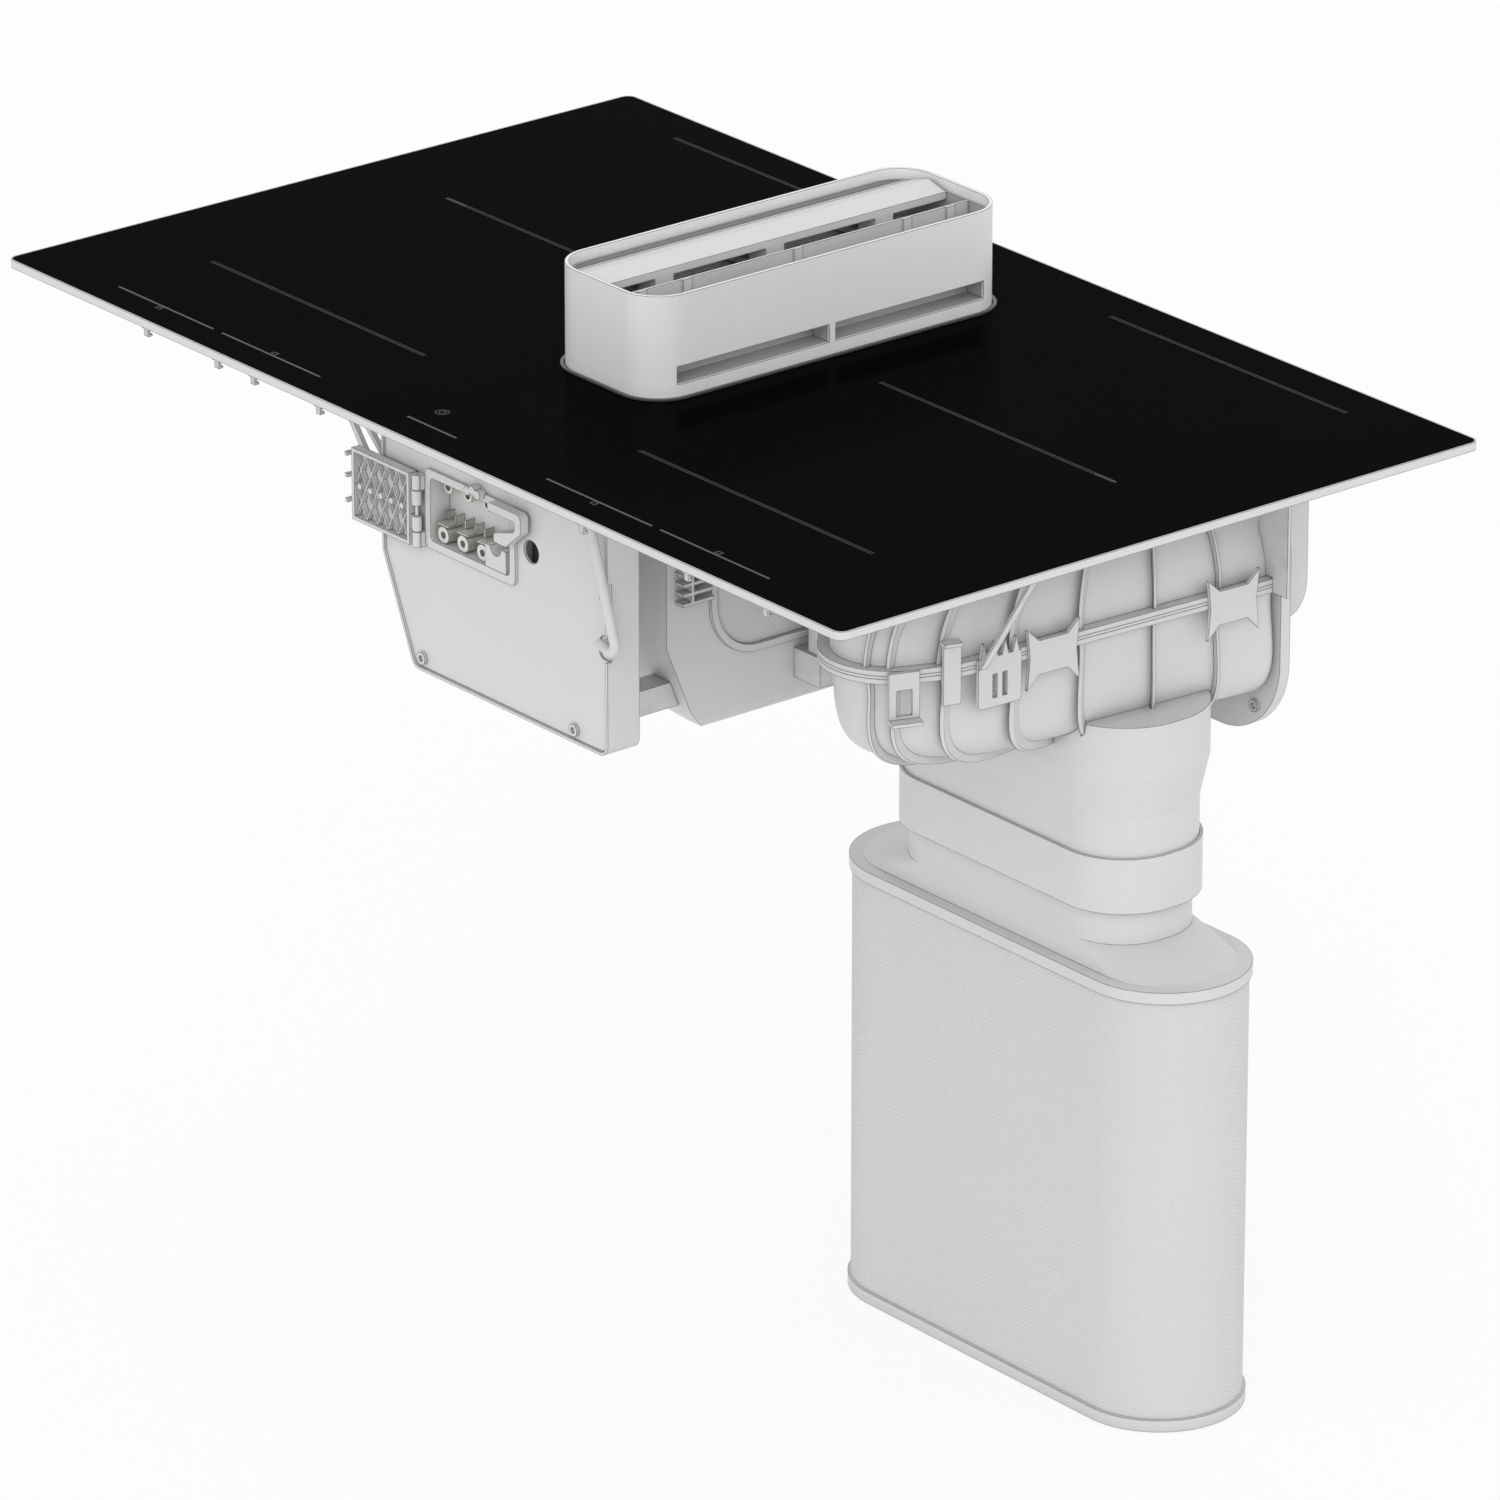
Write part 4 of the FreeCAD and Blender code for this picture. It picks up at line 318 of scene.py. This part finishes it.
def finish(name, colour, roughness, metallic=0.0, pattern="moulded", size=1500.0, depth=0.00004,
           swing=0.05, pattern_swing=0.03, edge=0.85, **constants):
    """Material with a patterned surface, slow tone, painted shade in hollows and darkened edge lines."""
    made = bpy.data.materials.get(name + "_finish")
    if made:
        return made
    made = bpy.data.materials.new(name + "_finish")
    made.use_nodes = True
    tree = made.node_tree
    shader = tree.nodes["Principled BSDF"]
    place = node(tree, "ShaderNodeTexCoord").outputs["Object"]
    group_name, build, size_label = PATTERNS[pattern]
    surface = node(tree, "ShaderNodeGroup", node_tree=shared(group_name, build))
    link(tree, place, surface.inputs["Vector"])
    surface.inputs[size_label].default_value = size
    tone = node(tree, "ShaderNodeGroup", node_tree=shared("tone_and_hollow_shade", tone_group))
    link(tree, place, tone.inputs["Vector"])
    tone.inputs["Amount"].default_value = swing
    line = node(tree, "ShaderNodeGroup", node_tree=shared("edge_line", edge_line_group))
    line.inputs["Width"].default_value = settings()[1].edge_width
    speckle = remap(tree, surface.outputs["Height"], 0.0, 1.0, 1.0 - pattern_swing, 1.0 + pattern_swing)
    dark = remap(tree, line.outputs["Mask"], 0.0, 1.0, 1.0, 1.0 - edge)
    # The tone includes the painted shade in hollows.
    level = math_node(tree, "MULTIPLY", math_node(tree, "MULTIPLY", tone.outputs["Tone"], speckle), dark)
    base = node(tree, "ShaderNodeVectorMath", operation="SCALE")
    base.inputs[0].default_value = colour
    link(tree, level, base.inputs["Scale"])
    link(tree, base.outputs["Vector"], shader.inputs["Base Color"])
    gloss = remap(tree, tone.outputs["Cloud"], *CLOUD_RANGE, roughness - ROUGHNESS_SWING,
                  roughness + ROUGHNESS_SWING)
    link(tree, gloss, shader.inputs["Roughness"])
    bump = node(tree, "ShaderNodeBump")
    bump.inputs["Strength"].default_value = BUMP_STRENGTH
    bump.inputs["Distance"].default_value = depth
    link(tree, surface.outputs["Height"], bump.inputs["Height"])
    link(tree, bump.outputs["Normal"], shader.inputs["Normal"])
    shader.inputs["Metallic"].default_value = metallic
    for label, value in constants.items():
        shader.inputs[label.replace("_", " ")].default_value = value
    return made


# Streaks per metre on each axis; the small one is the way of the brush.
STREAK_UP = (900.0, 900.0, 14.0)
STREAK_ACROSS = (12.0, 900.0, 900.0)
STREAK_ALONG = (900.0, 10.0, 900.0)


def finishes(name):
    """The material of one of the object's finishes."""
    looks = settings()[1]
    body, metal = tuple(looks.body), tuple(looks.metal)
    recipes = {
        "black_glass": dict(colour=tuple(looks.glass), roughness=0.16, size=2400.0, depth=0.000004,
                            swing=0.5, pattern_swing=0.3, edge=0.0, IOR=1.02),
        # Painted light: the tower's steel is the blade steel made brighter to make up for the light it
        # misses.
        "satin_steel": dict(colour=tuple(looks.panel), roughness=0.45, metallic=0.1, pattern="brushed",
                            size=STREAK_UP, depth=0.00002, swing=0.03, pattern_swing=0.035),
        "blade_steel": dict(colour=metal, roughness=0.45, metallic=0.1, pattern="brushed",
                            size=STREAK_ALONG, depth=0.00002, swing=0.03, pattern_swing=0.035),
        "galvanised_sheet": dict(colour=metal, roughness=0.5, metallic=0.15, pattern="spangle", size=110.0,
                                 depth=0.000015, pattern_swing=0.05),
        "light_plastic": dict(colour=body, roughness=0.5, size=1300.0, depth=0.00005),
        "smooth_plastic": dict(colour=body, roughness=0.38, size=2200.0, depth=0.00002),
        # Painted shade: the body's plastic made darker for the parts in the shade inside the tower.
        "shaded_inner_plastic": dict(colour=tuple(looks.inner), roughness=0.5, size=1300.0, depth=0.00005),
        "dark_steel": dict(colour=(0.10, 0.10, 0.10), roughness=0.4, metallic=0.3, pattern="brushed",
                           size=STREAK_ACROSS, depth=0.00002, edge=0.5),
        "dark_plastic": dict(colour=(0.07, 0.07, 0.075), roughness=0.5, size=1300.0, pattern_swing=0.12,
                             edge=-0.4),
        "seal_rubber": dict(colour=(0.03, 0.03, 0.03), roughness=0.85, size=700.0, depth=0.0003,
                            pattern_swing=0.3, edge=0.0),
        "copper": dict(colour=(0.62, 0.30, 0.15), roughness=0.35, metallic=0.9, pattern="brushed",
                       size=(350.0, 350.0, 350.0), depth=0.0002, pattern_swing=0.15, edge=0.2),
        "ferrite": dict(colour=(0.05, 0.05, 0.055), roughness=0.7, size=900.0, pattern_swing=0.2,
                        edge=-0.4),
        "board": dict(colour=(0.02, 0.14, 0.06), roughness=0.4, pattern="woven", size=500.0,
                      pattern_swing=0.1, edge=0.2),
        "raw_aluminium": dict(colour=metal, roughness=0.36, metallic=0.7, pattern="brushed",
                              size=STREAK_ACROSS, depth=0.00003, pattern_swing=0.06),
        "mica": dict(colour=(0.62, 0.56, 0.46), roughness=0.6, pattern="spangle", size=300.0,
                     pattern_swing=0.08),
        "terminal_brass": dict(colour=(0.70, 0.69, 0.66), roughness=0.3, metallic=0.6, pattern="brushed",
                               size=(700.0, 20.0, 700.0), depth=0.00002),
        "bright_steel": dict(colour=metal, roughness=0.28, metallic=0.7, pattern="brushed",
                             size=(500.0, 500.0, 500.0), depth=0.00002),
        "fleece": dict(colour=body, roughness=0.85, pattern="woven", size=480.0, depth=0.00025,
                       pattern_swing=0.045, Sheen_Weight=0.15),
        "lead_sheath": dict(colour=body, roughness=0.55, size=1800.0, depth=0.00003),
    }
    return finish(name, **recipes[name])


# Pieces whose shallow folds stay crisp, with the angle from which they do.
CRISP = {"cover_blade": math.radians(4), "casing_cover": math.radians(2),
         "outlet_adapter": math.radians(10)}
CARRIED_SHADING = ("custom_normal", "sharp_edge", "sharp_face")
MERGE_REACH = 2e-6


def body_name(part):
    """Body that a node moves with."""
    for name, members in frame["record"]["behaviour"]["bodies"].items():
        if part in members:
            return name
    raise RuntimeError(f"no body holds {part}")


def baked(name, mesh, kind, set_up):
    """Plain mesh object that one modifier makes from a mesh."""
    bench = bpy.data.objects.new(name + "_bench", mesh)
    bpy.context.scene.collection.objects.link(bench)
    maker = bench.modifiers.new("maker", kind)
    set_up(maker)
    view = bpy.context.evaluated_depsgraph_get()
    made = bpy.data.meshes.new_from_object(bench.evaluated_get(view))
    bench.modifiers.remove(maker)
    bpy.data.objects.remove(bench)
    if not made.polygons:
        raise RuntimeError(name + " came out empty")
    made.name = name
    piece = bpy.data.objects.new(name, made)
    bpy.context.scene.collection.objects.link(piece)
    return piece


def keep_edges(maker):
    """Weighted normals that stop at crisp edges."""
    maker.keep_sharp = True


def dress(part, look):
    """Merged, smooth-shaded copy of a solid with its finish, standing for the solid."""
    mesh = frame["nodes"][part].data.copy()
    for label in CARRIED_SHADING:
        if label in mesh.attributes:
            mesh.attributes.remove(mesh.attributes[label])
    shape = bmesh.new()
    shape.from_mesh(mesh)
    bmesh.ops.remove_doubles(shape, verts=shape.verts, dist=MERGE_REACH)
    shape.to_mesh(mesh)
    shape.free()
    mesh.shade_smooth()
    mesh.set_sharp_from_angle(angle=CRISP.get(part, settings()[1].smooth_angle))
    mesh.materials.clear()
    mesh.materials.append(finishes(look))
    piece = baked(part + "_piece", mesh, "WEIGHTED_NORMAL", keep_edges)
    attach(piece, body_name(part))
    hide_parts(part)


def dress_all(looks):
    """Dresses each node with the finish named beside it."""
    for part, look in looks.items():
        dress(part, look)


def ink_material():
    """Enamel of the printed marks."""
    colour = tuple(settings()[0].colour)
    return finish("printed_enamel", colour, 0.55, size=3000.0, depth=0.000005, swing=0.25,
                  pattern_swing=0.15, edge=0.0, IOR=1.2)


def geometry_tree(name, inputs):
    """Empty geometry node tree with its named sockets."""
    tree = bpy.data.node_groups.new(name, "GeometryNodeTree")
    for label, kind in inputs:
        tree.interface.new_socket(label, in_out="INPUT", socket_type=kind)
    tree.interface.new_socket("Geometry", in_out="OUTPUT", socket_type="NodeSocketGeometry")
    return tree, tree.nodes.new("NodeGroupInput"), tree.nodes.new("NodeGroupOutput")


def ending(tree, start, geometry, end):
    """Realize Instances and Set Material before the tree's output."""
    real = node(tree, "GeometryNodeRealizeInstances")
    link(tree, geometry, real.inputs["Geometry"])
    painted = node(tree, "GeometryNodeSetMaterial")
    link(tree, real.outputs["Geometry"], painted.inputs["Geometry"])
    link(tree, start.outputs["Material"], painted.inputs["Material"])
    link(tree, painted.outputs["Geometry"], end.inputs["Geometry"])


def double_line_tree():
    """Two flat strokes along every edge of the input."""
    tree, start, end = geometry_tree("printed_double_line", [
        ("Geometry", "NodeSocketGeometry"), ("Gap", "NodeSocketFloat"), ("Stroke", "NodeSocketFloat"),
        ("Ink", "NodeSocketFloat"), ("Material", "NodeSocketMaterial")])
    path = node(tree, "GeometryNodeMeshToCurve")
    link(tree, start.outputs["Geometry"], path.inputs["Mesh"])
    upright = node(tree, "GeometryNodeSetCurveNormal", mode="Z_UP")
    link(tree, path.outputs["Curve"], upright.inputs["Curve"])
    strokes = node(tree, "GeometryNodeJoinGeometry")
    for side in (-0.5, 0.5):
        section = node(tree, "GeometryNodeCurvePrimitiveQuadrilateral")
        link(tree, start.outputs["Stroke"], section.inputs["Width"])
        link(tree, start.outputs["Ink"], section.inputs["Height"])
        shift = node(tree, "ShaderNodeCombineXYZ")
        link(tree, math_node(tree, "MULTIPLY", start.outputs["Gap"], side), shift.inputs["X"])
        moved = node(tree, "GeometryNodeTransform")
        link(tree, section.outputs["Curve"], moved.inputs["Geometry"])
        link(tree, shift.outputs["Vector"], moved.inputs["Translation"])
        swept = node(tree, "GeometryNodeCurveToMesh")
        link(tree, upright.outputs["Curve"], swept.inputs["Curve"])
        link(tree, moved.outputs["Geometry"], swept.inputs["Profile Curve"])
        swept.inputs["Fill Caps"].default_value = True
        link(tree, swept.outputs["Mesh"], strokes.inputs["Geometry"])
    ending(tree, start, strokes.outputs["Geometry"], end)
    return tree


def hatch_tree():
    """Slanted strokes in a row from every point of the input."""
    tree, start, end = geometry_tree("printed_hatch", [
        ("Geometry", "NodeSocketGeometry"), ("Count", "NodeSocketInt"), ("Pitch", "NodeSocketFloat"),
        ("Stroke", "NodeSocketFloat"), ("Length", "NodeSocketFloat"), ("Ink", "NodeSocketFloat"),
        ("Slant", "NodeSocketFloat"), ("Material", "NodeSocketMaterial")])
    size = node(tree, "ShaderNodeCombineXYZ")
    for socket, label in zip(size.inputs, ("Stroke", "Length", "Ink")):
        link(tree, start.outputs[label], socket)
    bar = node(tree, "GeometryNodeMeshCube")
    link(tree, size.outputs["Vector"], bar.inputs["Size"])
    step = node(tree, "ShaderNodeCombineXYZ")
    link(tree, start.outputs["Pitch"], step.inputs["X"])
    row = node(tree, "GeometryNodeMeshLine", mode="OFFSET")
    link(tree, start.outputs["Count"], row.inputs["Count"])
    link(tree, step.outputs["Vector"], row.inputs["Offset"])
    turn = node(tree, "ShaderNodeCombineXYZ")
    link(tree, start.outputs["Slant"], turn.inputs["Z"])
    block = node(tree, "GeometryNodeInstanceOnPoints")
    link(tree, row.outputs["Mesh"], block.inputs["Points"])
    link(tree, bar.outputs["Mesh"], block.inputs["Instance"])
    link(tree, turn.outputs["Vector"], block.inputs["Rotation"])
    rows = node(tree, "GeometryNodeInstanceOnPoints")
    link(tree, start.outputs["Geometry"], rows.inputs["Points"])
    link(tree, block.outputs["Instances"], rows.inputs["Instance"])
    ending(tree, start, rows.outputs["Instances"], end)
    return tree


def grown(name, mesh, tree, values):
    """Plain mesh object that a node tree makes from a mesh."""
    def fill(maker):
        maker.node_group = tree
        for item in tree.interface.items_tree:
            if item.in_out == "INPUT" and item.name in values:
                maker[item.identifier] = values[item.name]
    return baked(name, mesh, "NODES", fill)


def carry(piece, body):
    """Lets a made piece move with a body."""
    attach(piece, body)


# Places and sizes of the printed marks, in millimetres.
ZONE_SPAN = (108.0, 332.0)
ZONE_ROWS = (-157.0, 34.0, 223.0)
SLIDER_ROW = -231.0
SLIDERS = ((-331.0, -230.0), (-221.0, -119.0), (-29.0, 20.0), (110.0, 213.0), (221.0, 325.0))
ZONE_KEYS = ((-283.0, -234.5), (-170.0, -227.5), (161.0, -234.5), (273.0, -227.5))
SWITCH_PLACE = (-21.0, -210.0)
KEY_WIDTH = 5.0
KEY_DEPTH = 3.4
KEY_STROKE = 0.6
HATCH_LENGTH = 2.4
HATCH_STROKE = 1.0
HATCH_SLANT = math.radians(-35)
# Height of the ink's middle over the glass, as a share of its thickness.
INK_CENTRE = 0.3
# The switch mark: two rings and a stem, in shares of its radius. The stem's widths are millimetres.
RING_POINTS = 40
RING_SHARES = (1.0, 0.55)
STEM_PLACE = 0.5
STEM_OUTER = (1.2, 0.5)
STEM_INNER = (0.4, 0.3)


def edge_mesh(name, spans, height):
    """Mesh of loose edges in the plane of the glass, from spans in millimetres."""
    points, edges = [], []
    for x0, x1, y in spans:
        edges.append((len(points), len(points) + 1))
        points += [(x0 * MM, y * MM, height), (x1 * MM, y * MM, height)]
    mesh = bpy.data.meshes.new(name)
    mesh.from_pydata(points, edges, [])
    return mesh


def flat_loop(shape, outer, inner, low, high):
    """Closed band between two loops of points, standing between two heights."""
    rings = [[shape.verts.new((x, y, z)) for x, y in loop]
             for loop, z in ((outer, low), (outer, high), (inner, high), (inner, low))]
    count = len(outer)
    for first, second in zip(rings, rings[1:] + rings[:1]):
        for i in range(count):
            j = (i + 1) % count
            shape.faces.new((first[i], first[j], second[j], second[i]))


def circle_points(centre, radius):
    """Loop of points round a centre."""
    angles = [2 * math.pi * i / RING_POINTS for i in range(RING_POINTS)]
    return [(centre[0] + radius * math.cos(angle), centre[1] + radius * math.sin(angle))
            for angle in angles]


def rectangle_points(centre, width, depth):
    """Loop of the four corners round a centre."""
    x, y = centre
    return [(x - width / 2, y - depth / 2), (x + width / 2, y - depth / 2),
            (x + width / 2, y + depth / 2), (x - width / 2, y + depth / 2)]


class COOKTOP_OT_glass(bpy.types.Operator):
    """Glass sheet, its rim, its seal band and the ring round the tower"""
    bl_idname = "cooktop.glass"
    bl_label = "Glass and rim"

    def execute(self, context):
        dress_all({"glass_top": "black_glass", "edge_trim": "blade_steel", "worktop_seal": "seal_rubber",
                   "tower_trim_ring": "dark_steel"})
        return {"FINISHED"}


class COOKTOP_OT_print(bpy.types.Operator):
    """Zone lines, finger sliders, end blocks and the switch mark printed on the glass"""
    bl_idname = "cooktop.print"
    bl_label = "Printed marks"

    def execute(self, context):
        values = context.scene.cooktop_print
        ink = ink_material()
        height = GLASS_TOP_Z + INK_CENTRE * values.ink
        spans = []
        for y in ZONE_ROWS:
            for side in (-1, 1):
                spans.append((side * ZONE_SPAN[0], side * ZONE_SPAN[1], y))
        sliders = [(x0, x1, SLIDER_ROW) for x0, x1 in SLIDERS]
        strokes = double_line_tree()
        broad = values.slider_stroke
        for name, paths, gap, stroke in (("printed_zone_lines", spans, values.line_gap, values.stroke),
                                         ("printed_sliders", sliders, broad, broad)):
            lines = grown(name, edge_mesh(name + "_paths", paths, height), strokes,
                          {"Gap": gap, "Stroke": stroke, "Ink": values.ink, "Material": ink})
            carry(lines, "hob")

        length = (values.hatch_count - 1) * values.hatch_pitch
        reach, row = ZONE_SPAN[1] * MM, ZONE_ROWS[1] * MM
        ends = [(-reach, row, height), (reach - length, row, height)]
        starts = bpy.data.meshes.new("hatch_starts")
        starts.from_pydata(ends, [], [])
        hatch = grown("printed_end_blocks", starts, hatch_tree(),
                      {"Count": values.hatch_count, "Pitch": values.hatch_pitch,
                       "Stroke": HATCH_STROKE * MM, "Length": HATCH_LENGTH * MM, "Ink": values.ink,
                       "Slant": HATCH_SLANT, "Material": ink})
        carry(hatch, "hob")

        low, high = height - values.ink / 2, height + values.ink / 2
        shape = bmesh.new()
        for x, y in ZONE_KEYS:
            key = (x * MM, y * MM)
            inner_width, inner_depth = KEY_WIDTH - 2 * KEY_STROKE, KEY_DEPTH - 2 * KEY_STROKE
            flat_loop(shape, rectangle_points(key, KEY_WIDTH * MM, KEY_DEPTH * MM),
                      rectangle_points(key, inner_width * MM, inner_depth * MM), low, high)
        centre = (SWITCH_PLACE[0] * MM, SWITCH_PLACE[1] * MM)
        radius = values.ring_radius
        for share in RING_SHARES:
            flat_loop(shape, circle_points(centre, radius * share),
                      circle_points(centre, radius * share - values.stroke), low, high)
        stem = (centre[0], centre[1] + radius * STEM_PLACE)
        flat_loop(shape, rectangle_points(stem, STEM_OUTER[0] * MM, radius * STEM_OUTER[1]),
                  rectangle_points(stem, STEM_INNER[0] * MM, radius * STEM_INNER[1]), low, high)
        bmesh.ops.recalc_face_normals(shape, faces=shape.faces)
        mesh = bpy.data.meshes.new("printed_keys")
        shape.to_mesh(mesh)
        shape.free()
        mesh.materials.append(ink)
        keys = bpy.data.objects.new("printed_keys", mesh)
        context.scene.collection.objects.link(keys)
        carry(keys, "hob")
        return {"FINISHED"}


class COOKTOP_OT_tray(bpy.types.Operator):
    """Base tray, its hooks and everything that heats and switches inside it"""
    bl_idname = "cooktop.tray"
    bl_label = "Tray and heaters"

    def execute(self, context):
        dress_all({"base_tray": "galvanised_sheet", "tray_hooks": "galvanised_sheet",
                   "coil_carriers": "dark_plastic", "insulation_sheets": "mica",
                   "induction_coils": "copper", "ferrite_bars": "ferrite",
                   "power_boards": "board", "heat_sinks": "raw_aluminium", "touch_board": "board",
                   "cooling_fan_frame": "dark_plastic", "cooling_fan_rotor": "dark_plastic"})
        return {"FINISHED"}


class COOKTOP_OT_tower(bpy.types.Operator):
    """Rising tower, its baffles and its lift-out grille"""
    bl_idname = "cooktop.tower"
    bl_label = "Tower and grille"

    def execute(self, context):
        # The window baffles and grille frame take the darker plastic, which is painted shade.
        dress_all({"tower_shell": "satin_steel", "window_baffles": "shaded_inner_plastic",
                   "guide_bushes": "dark_plastic", "tower_racks": "light_plastic",
                   "grille_frame": "shaded_inner_plastic", "side_blades": "blade_steel",
                   "cover_blade": "blade_steel", "grille_clips": "light_plastic",
                   "grease_filter": "raw_aluminium"})
        return {"FINISHED"}


class COOKTOP_OT_well(bpy.types.Operator):
    """Well that catches spills under the tower, with the lift drive in it"""
    bl_idname = "cooktop.well"
    bl_label = "Well and lift"

    def execute(self, context):
        dress_all({"well_shell": "smooth_plastic", "guide_rods": "bright_steel",
                   "harness_comb": "light_plastic", "lift_pinions": "light_plastic",
                   "lift_bearings": "light_plastic", "lift_shaft": "bright_steel",
                   "lift_motor": "dark_plastic"})
        return {"FINISHED"}


class COOKTOP_OT_casing(bpy.types.Operator):
    """Connection casing with its terminals, lid, lead and brackets"""
    bl_idname = "cooktop.casing"
    bl_label = "Connection casing"

    def execute(self, context):
        dress_all({"casing_shell": "light_plastic", "casing_cover": "smooth_plastic",
                   "terminal_frame": "light_plastic", "lid_hinge_pin": "bright_steel",
                   "terminal_posts": "terminal_brass", "terminal_links": "terminal_brass",
                   "strain_relief_arm": "light_plastic", "cable_clamp": "light_plastic",
                   "terminal_lid": "light_plastic", "fan_lead": "lead_sheath",
                   "casing_gusset": "light_plastic", "cross_rail": "galvanised_sheet",
                   "screws": "bright_steel"})
        return {"FINISHED"}


class COOKTOP_OT_blower(bpy.types.Operator):
    """Two-part blower housing, its fan and its fittings"""
    bl_idname = "cooktop.blower"
    bl_label = "Blower"

    def execute(self, context):
        dress_all({"blower_upper_shell": "smooth_plastic", "blower_lower_shell": "smooth_plastic",
                   "fan_plate": "light_plastic", "impeller": "dark_plastic", "blower_motor": "dark_plastic",
                   "flange_clips": "light_plastic", "blower_hangers": "galvanised_sheet",
                   "blower_bracket": "galvanised_sheet", "rear_flange": "smooth_plastic",
                   "rear_housing": "smooth_plastic"})
        return {"FINISHED"}


class COOKTOP_OT_duct(bpy.types.Operator):
    """Outlet adapter, collar and the filter pack"""
    bl_idname = "cooktop.duct"
    bl_label = "Duct and filter"

    def execute(self, context):
        dress_all({"outlet_adapter": "smooth_plastic", "duct_collar": "smooth_plastic",
                   "filter_top_cap": "smooth_plastic", "filter_sleeve": "fleece", "filter_media": "fleece",
                   "filter_bottom_cap": "smooth_plastic"})
        return {"FINISHED"}


def seen_directly(tree):
    """1 for rays from the camera, a mirror or a clear body, 0 for scattered light."""
    path = node(tree, "ShaderNodeLightPath")
    first = math_node(tree, "MAXIMUM", path.outputs["Is Camera Ray"], path.outputs["Is Glossy Ray"])
    return math_node(tree, "MAXIMUM", first, path.outputs["Is Transmission Ray"])


WHITE = (1.0, 1.0, 1.0, 1.0)
FLOOR_GREY = (0.86, 0.86, 0.86, 1.0)
FLOOR_GLOW = 0.86
SENSOR_WIDTH = 36.0
CLIP_END = 100.0


def floor_material():
    """Pale floor that looks nearly white but still takes soft shadows."""
    made = bpy.data.materials.new("pale_floor")
    made.use_nodes = True
    tree = made.node_tree
    tree.nodes.clear()
    matt = node(tree, "ShaderNodeBsdfDiffuse")
    matt.inputs["Color"].default_value = FLOOR_GREY
    glow = node(tree, "ShaderNodeEmission")
    glow.inputs["Color"].default_value = WHITE
    mixed = node(tree, "ShaderNodeMixShader")
    link(tree, math_node(tree, "MULTIPLY", seen_directly(tree), FLOOR_GLOW), mixed.inputs["Fac"])
    link(tree, matt.outputs["BSDF"], mixed.inputs[1])
    link(tree, glow.outputs["Emission"], mixed.inputs[2])
    end = node(tree, "ShaderNodeOutputMaterial")
    link(tree, mixed.outputs["Shader"], end.inputs["Surface"])
    return made


class COOKTOP_OT_stage(bpy.types.Operator):
    """Pale floor, soft light all round, a broad key light and the camera"""
    bl_idname = "cooktop.stage"
    bl_label = "Stage"

    def execute(self, context):
        values = context.scene.cooktop_stage
        scene = context.scene
        scene.view_settings.view_transform = "Standard"
        world = bpy.data.worlds.new("studio")
        scene.world = world
        world.use_nodes = True
        tree = world.node_tree
        sky = tree.nodes["Background"]
        sky.inputs["Color"].default_value = WHITE
        strength = remap(tree, seen_directly(tree), 0.0, 1.0, values.sky_level, 1.0)
        link(tree, strength, sky.inputs["Strength"])

        if values.show_floor:
            half = values.floor_half
            mesh = bpy.data.meshes.new("floor")
            mesh.from_pydata([(-half, -half, FLOOR_Z), (half, -half, FLOOR_Z), (half, half, FLOOR_Z),
                              (-half, half, FLOOR_Z)], [], [(0, 1, 2, 3)])
            mesh.materials.append(floor_material())
            floor = bpy.data.objects.new("floor", mesh)
            scene.collection.objects.link(floor)

        lamp = bpy.data.lights.new("key", "SUN")
        lamp.energy = values.sun_level
        lamp.angle = values.sun_spread
        key = bpy.data.objects.new("key", lamp)
        key.rotation_euler = Vector(values.sun_way).to_track_quat("-Z", "Y").to_euler()
        scene.collection.objects.link(key)

        camera = bpy.data.objects.new("camera", bpy.data.cameras.new("camera"))
        camera.data.lens = values.lens
        camera.data.sensor_width = SENSOR_WIDTH
        camera.data.clip_end = CLIP_END
        camera.location = values.camera_place
        camera.rotation_euler = values.camera_turn
        scene.collection.objects.link(camera)
        scene.camera = camera
        return {"FINISHED"}


class COOKTOP_PT_pieces(bpy.types.Panel):
    """Lists the pieces and their sizes"""
    bl_idname = "COOKTOP_PT_pieces"
    bl_label = "Cooktop"
    bl_space_type = "VIEW_3D"
    bl_region_type = "UI"
    bl_category = "Cooktop"

    def draw(self, context):
        for values in settings():
            for label in values.bl_rna.properties.keys():
                if label not in ("rna_type", "name"):
                    self.layout.prop(values, label)
        for operator in PIECES:
            self.layout.operator(operator.bl_idname)


PIECES = (COOKTOP_OT_stage, COOKTOP_OT_glass, COOKTOP_OT_print, COOKTOP_OT_tray, COOKTOP_OT_tower,
          COOKTOP_OT_well, COOKTOP_OT_casing, COOKTOP_OT_blower, COOKTOP_OT_duct)
GROUPS = (PrintSettings, FinishSettings, StageSettings)


def register():
    for made in GROUPS + PIECES + (COOKTOP_PT_pieces,):
        bpy.utils.register_class(made)
    bpy.types.Scene.cooktop_print = PointerProperty(type=PrintSettings)
    bpy.types.Scene.cooktop_finish = PointerProperty(type=FinishSettings)
    bpy.types.Scene.cooktop_stage = PointerProperty(type=StageSettings)


def unregister():
    del bpy.types.Scene.cooktop_stage
    del bpy.types.Scene.cooktop_finish
    del bpy.types.Scene.cooktop_print
    for made in reversed(GROUPS + PIECES + (COOKTOP_PT_pieces,)):
        bpy.utils.unregister_class(made)


def main():
    register()
    bpy.ops.cooktop.stage()
    bpy.ops.cooktop.glass()
    bpy.ops.cooktop.print()
    bpy.ops.cooktop.tray()
    bpy.ops.cooktop.tower()
    bpy.ops.cooktop.well()
    bpy.ops.cooktop.casing()
    bpy.ops.cooktop.blower()
    bpy.ops.cooktop.duct()


if __name__ == "__main__":
    main()
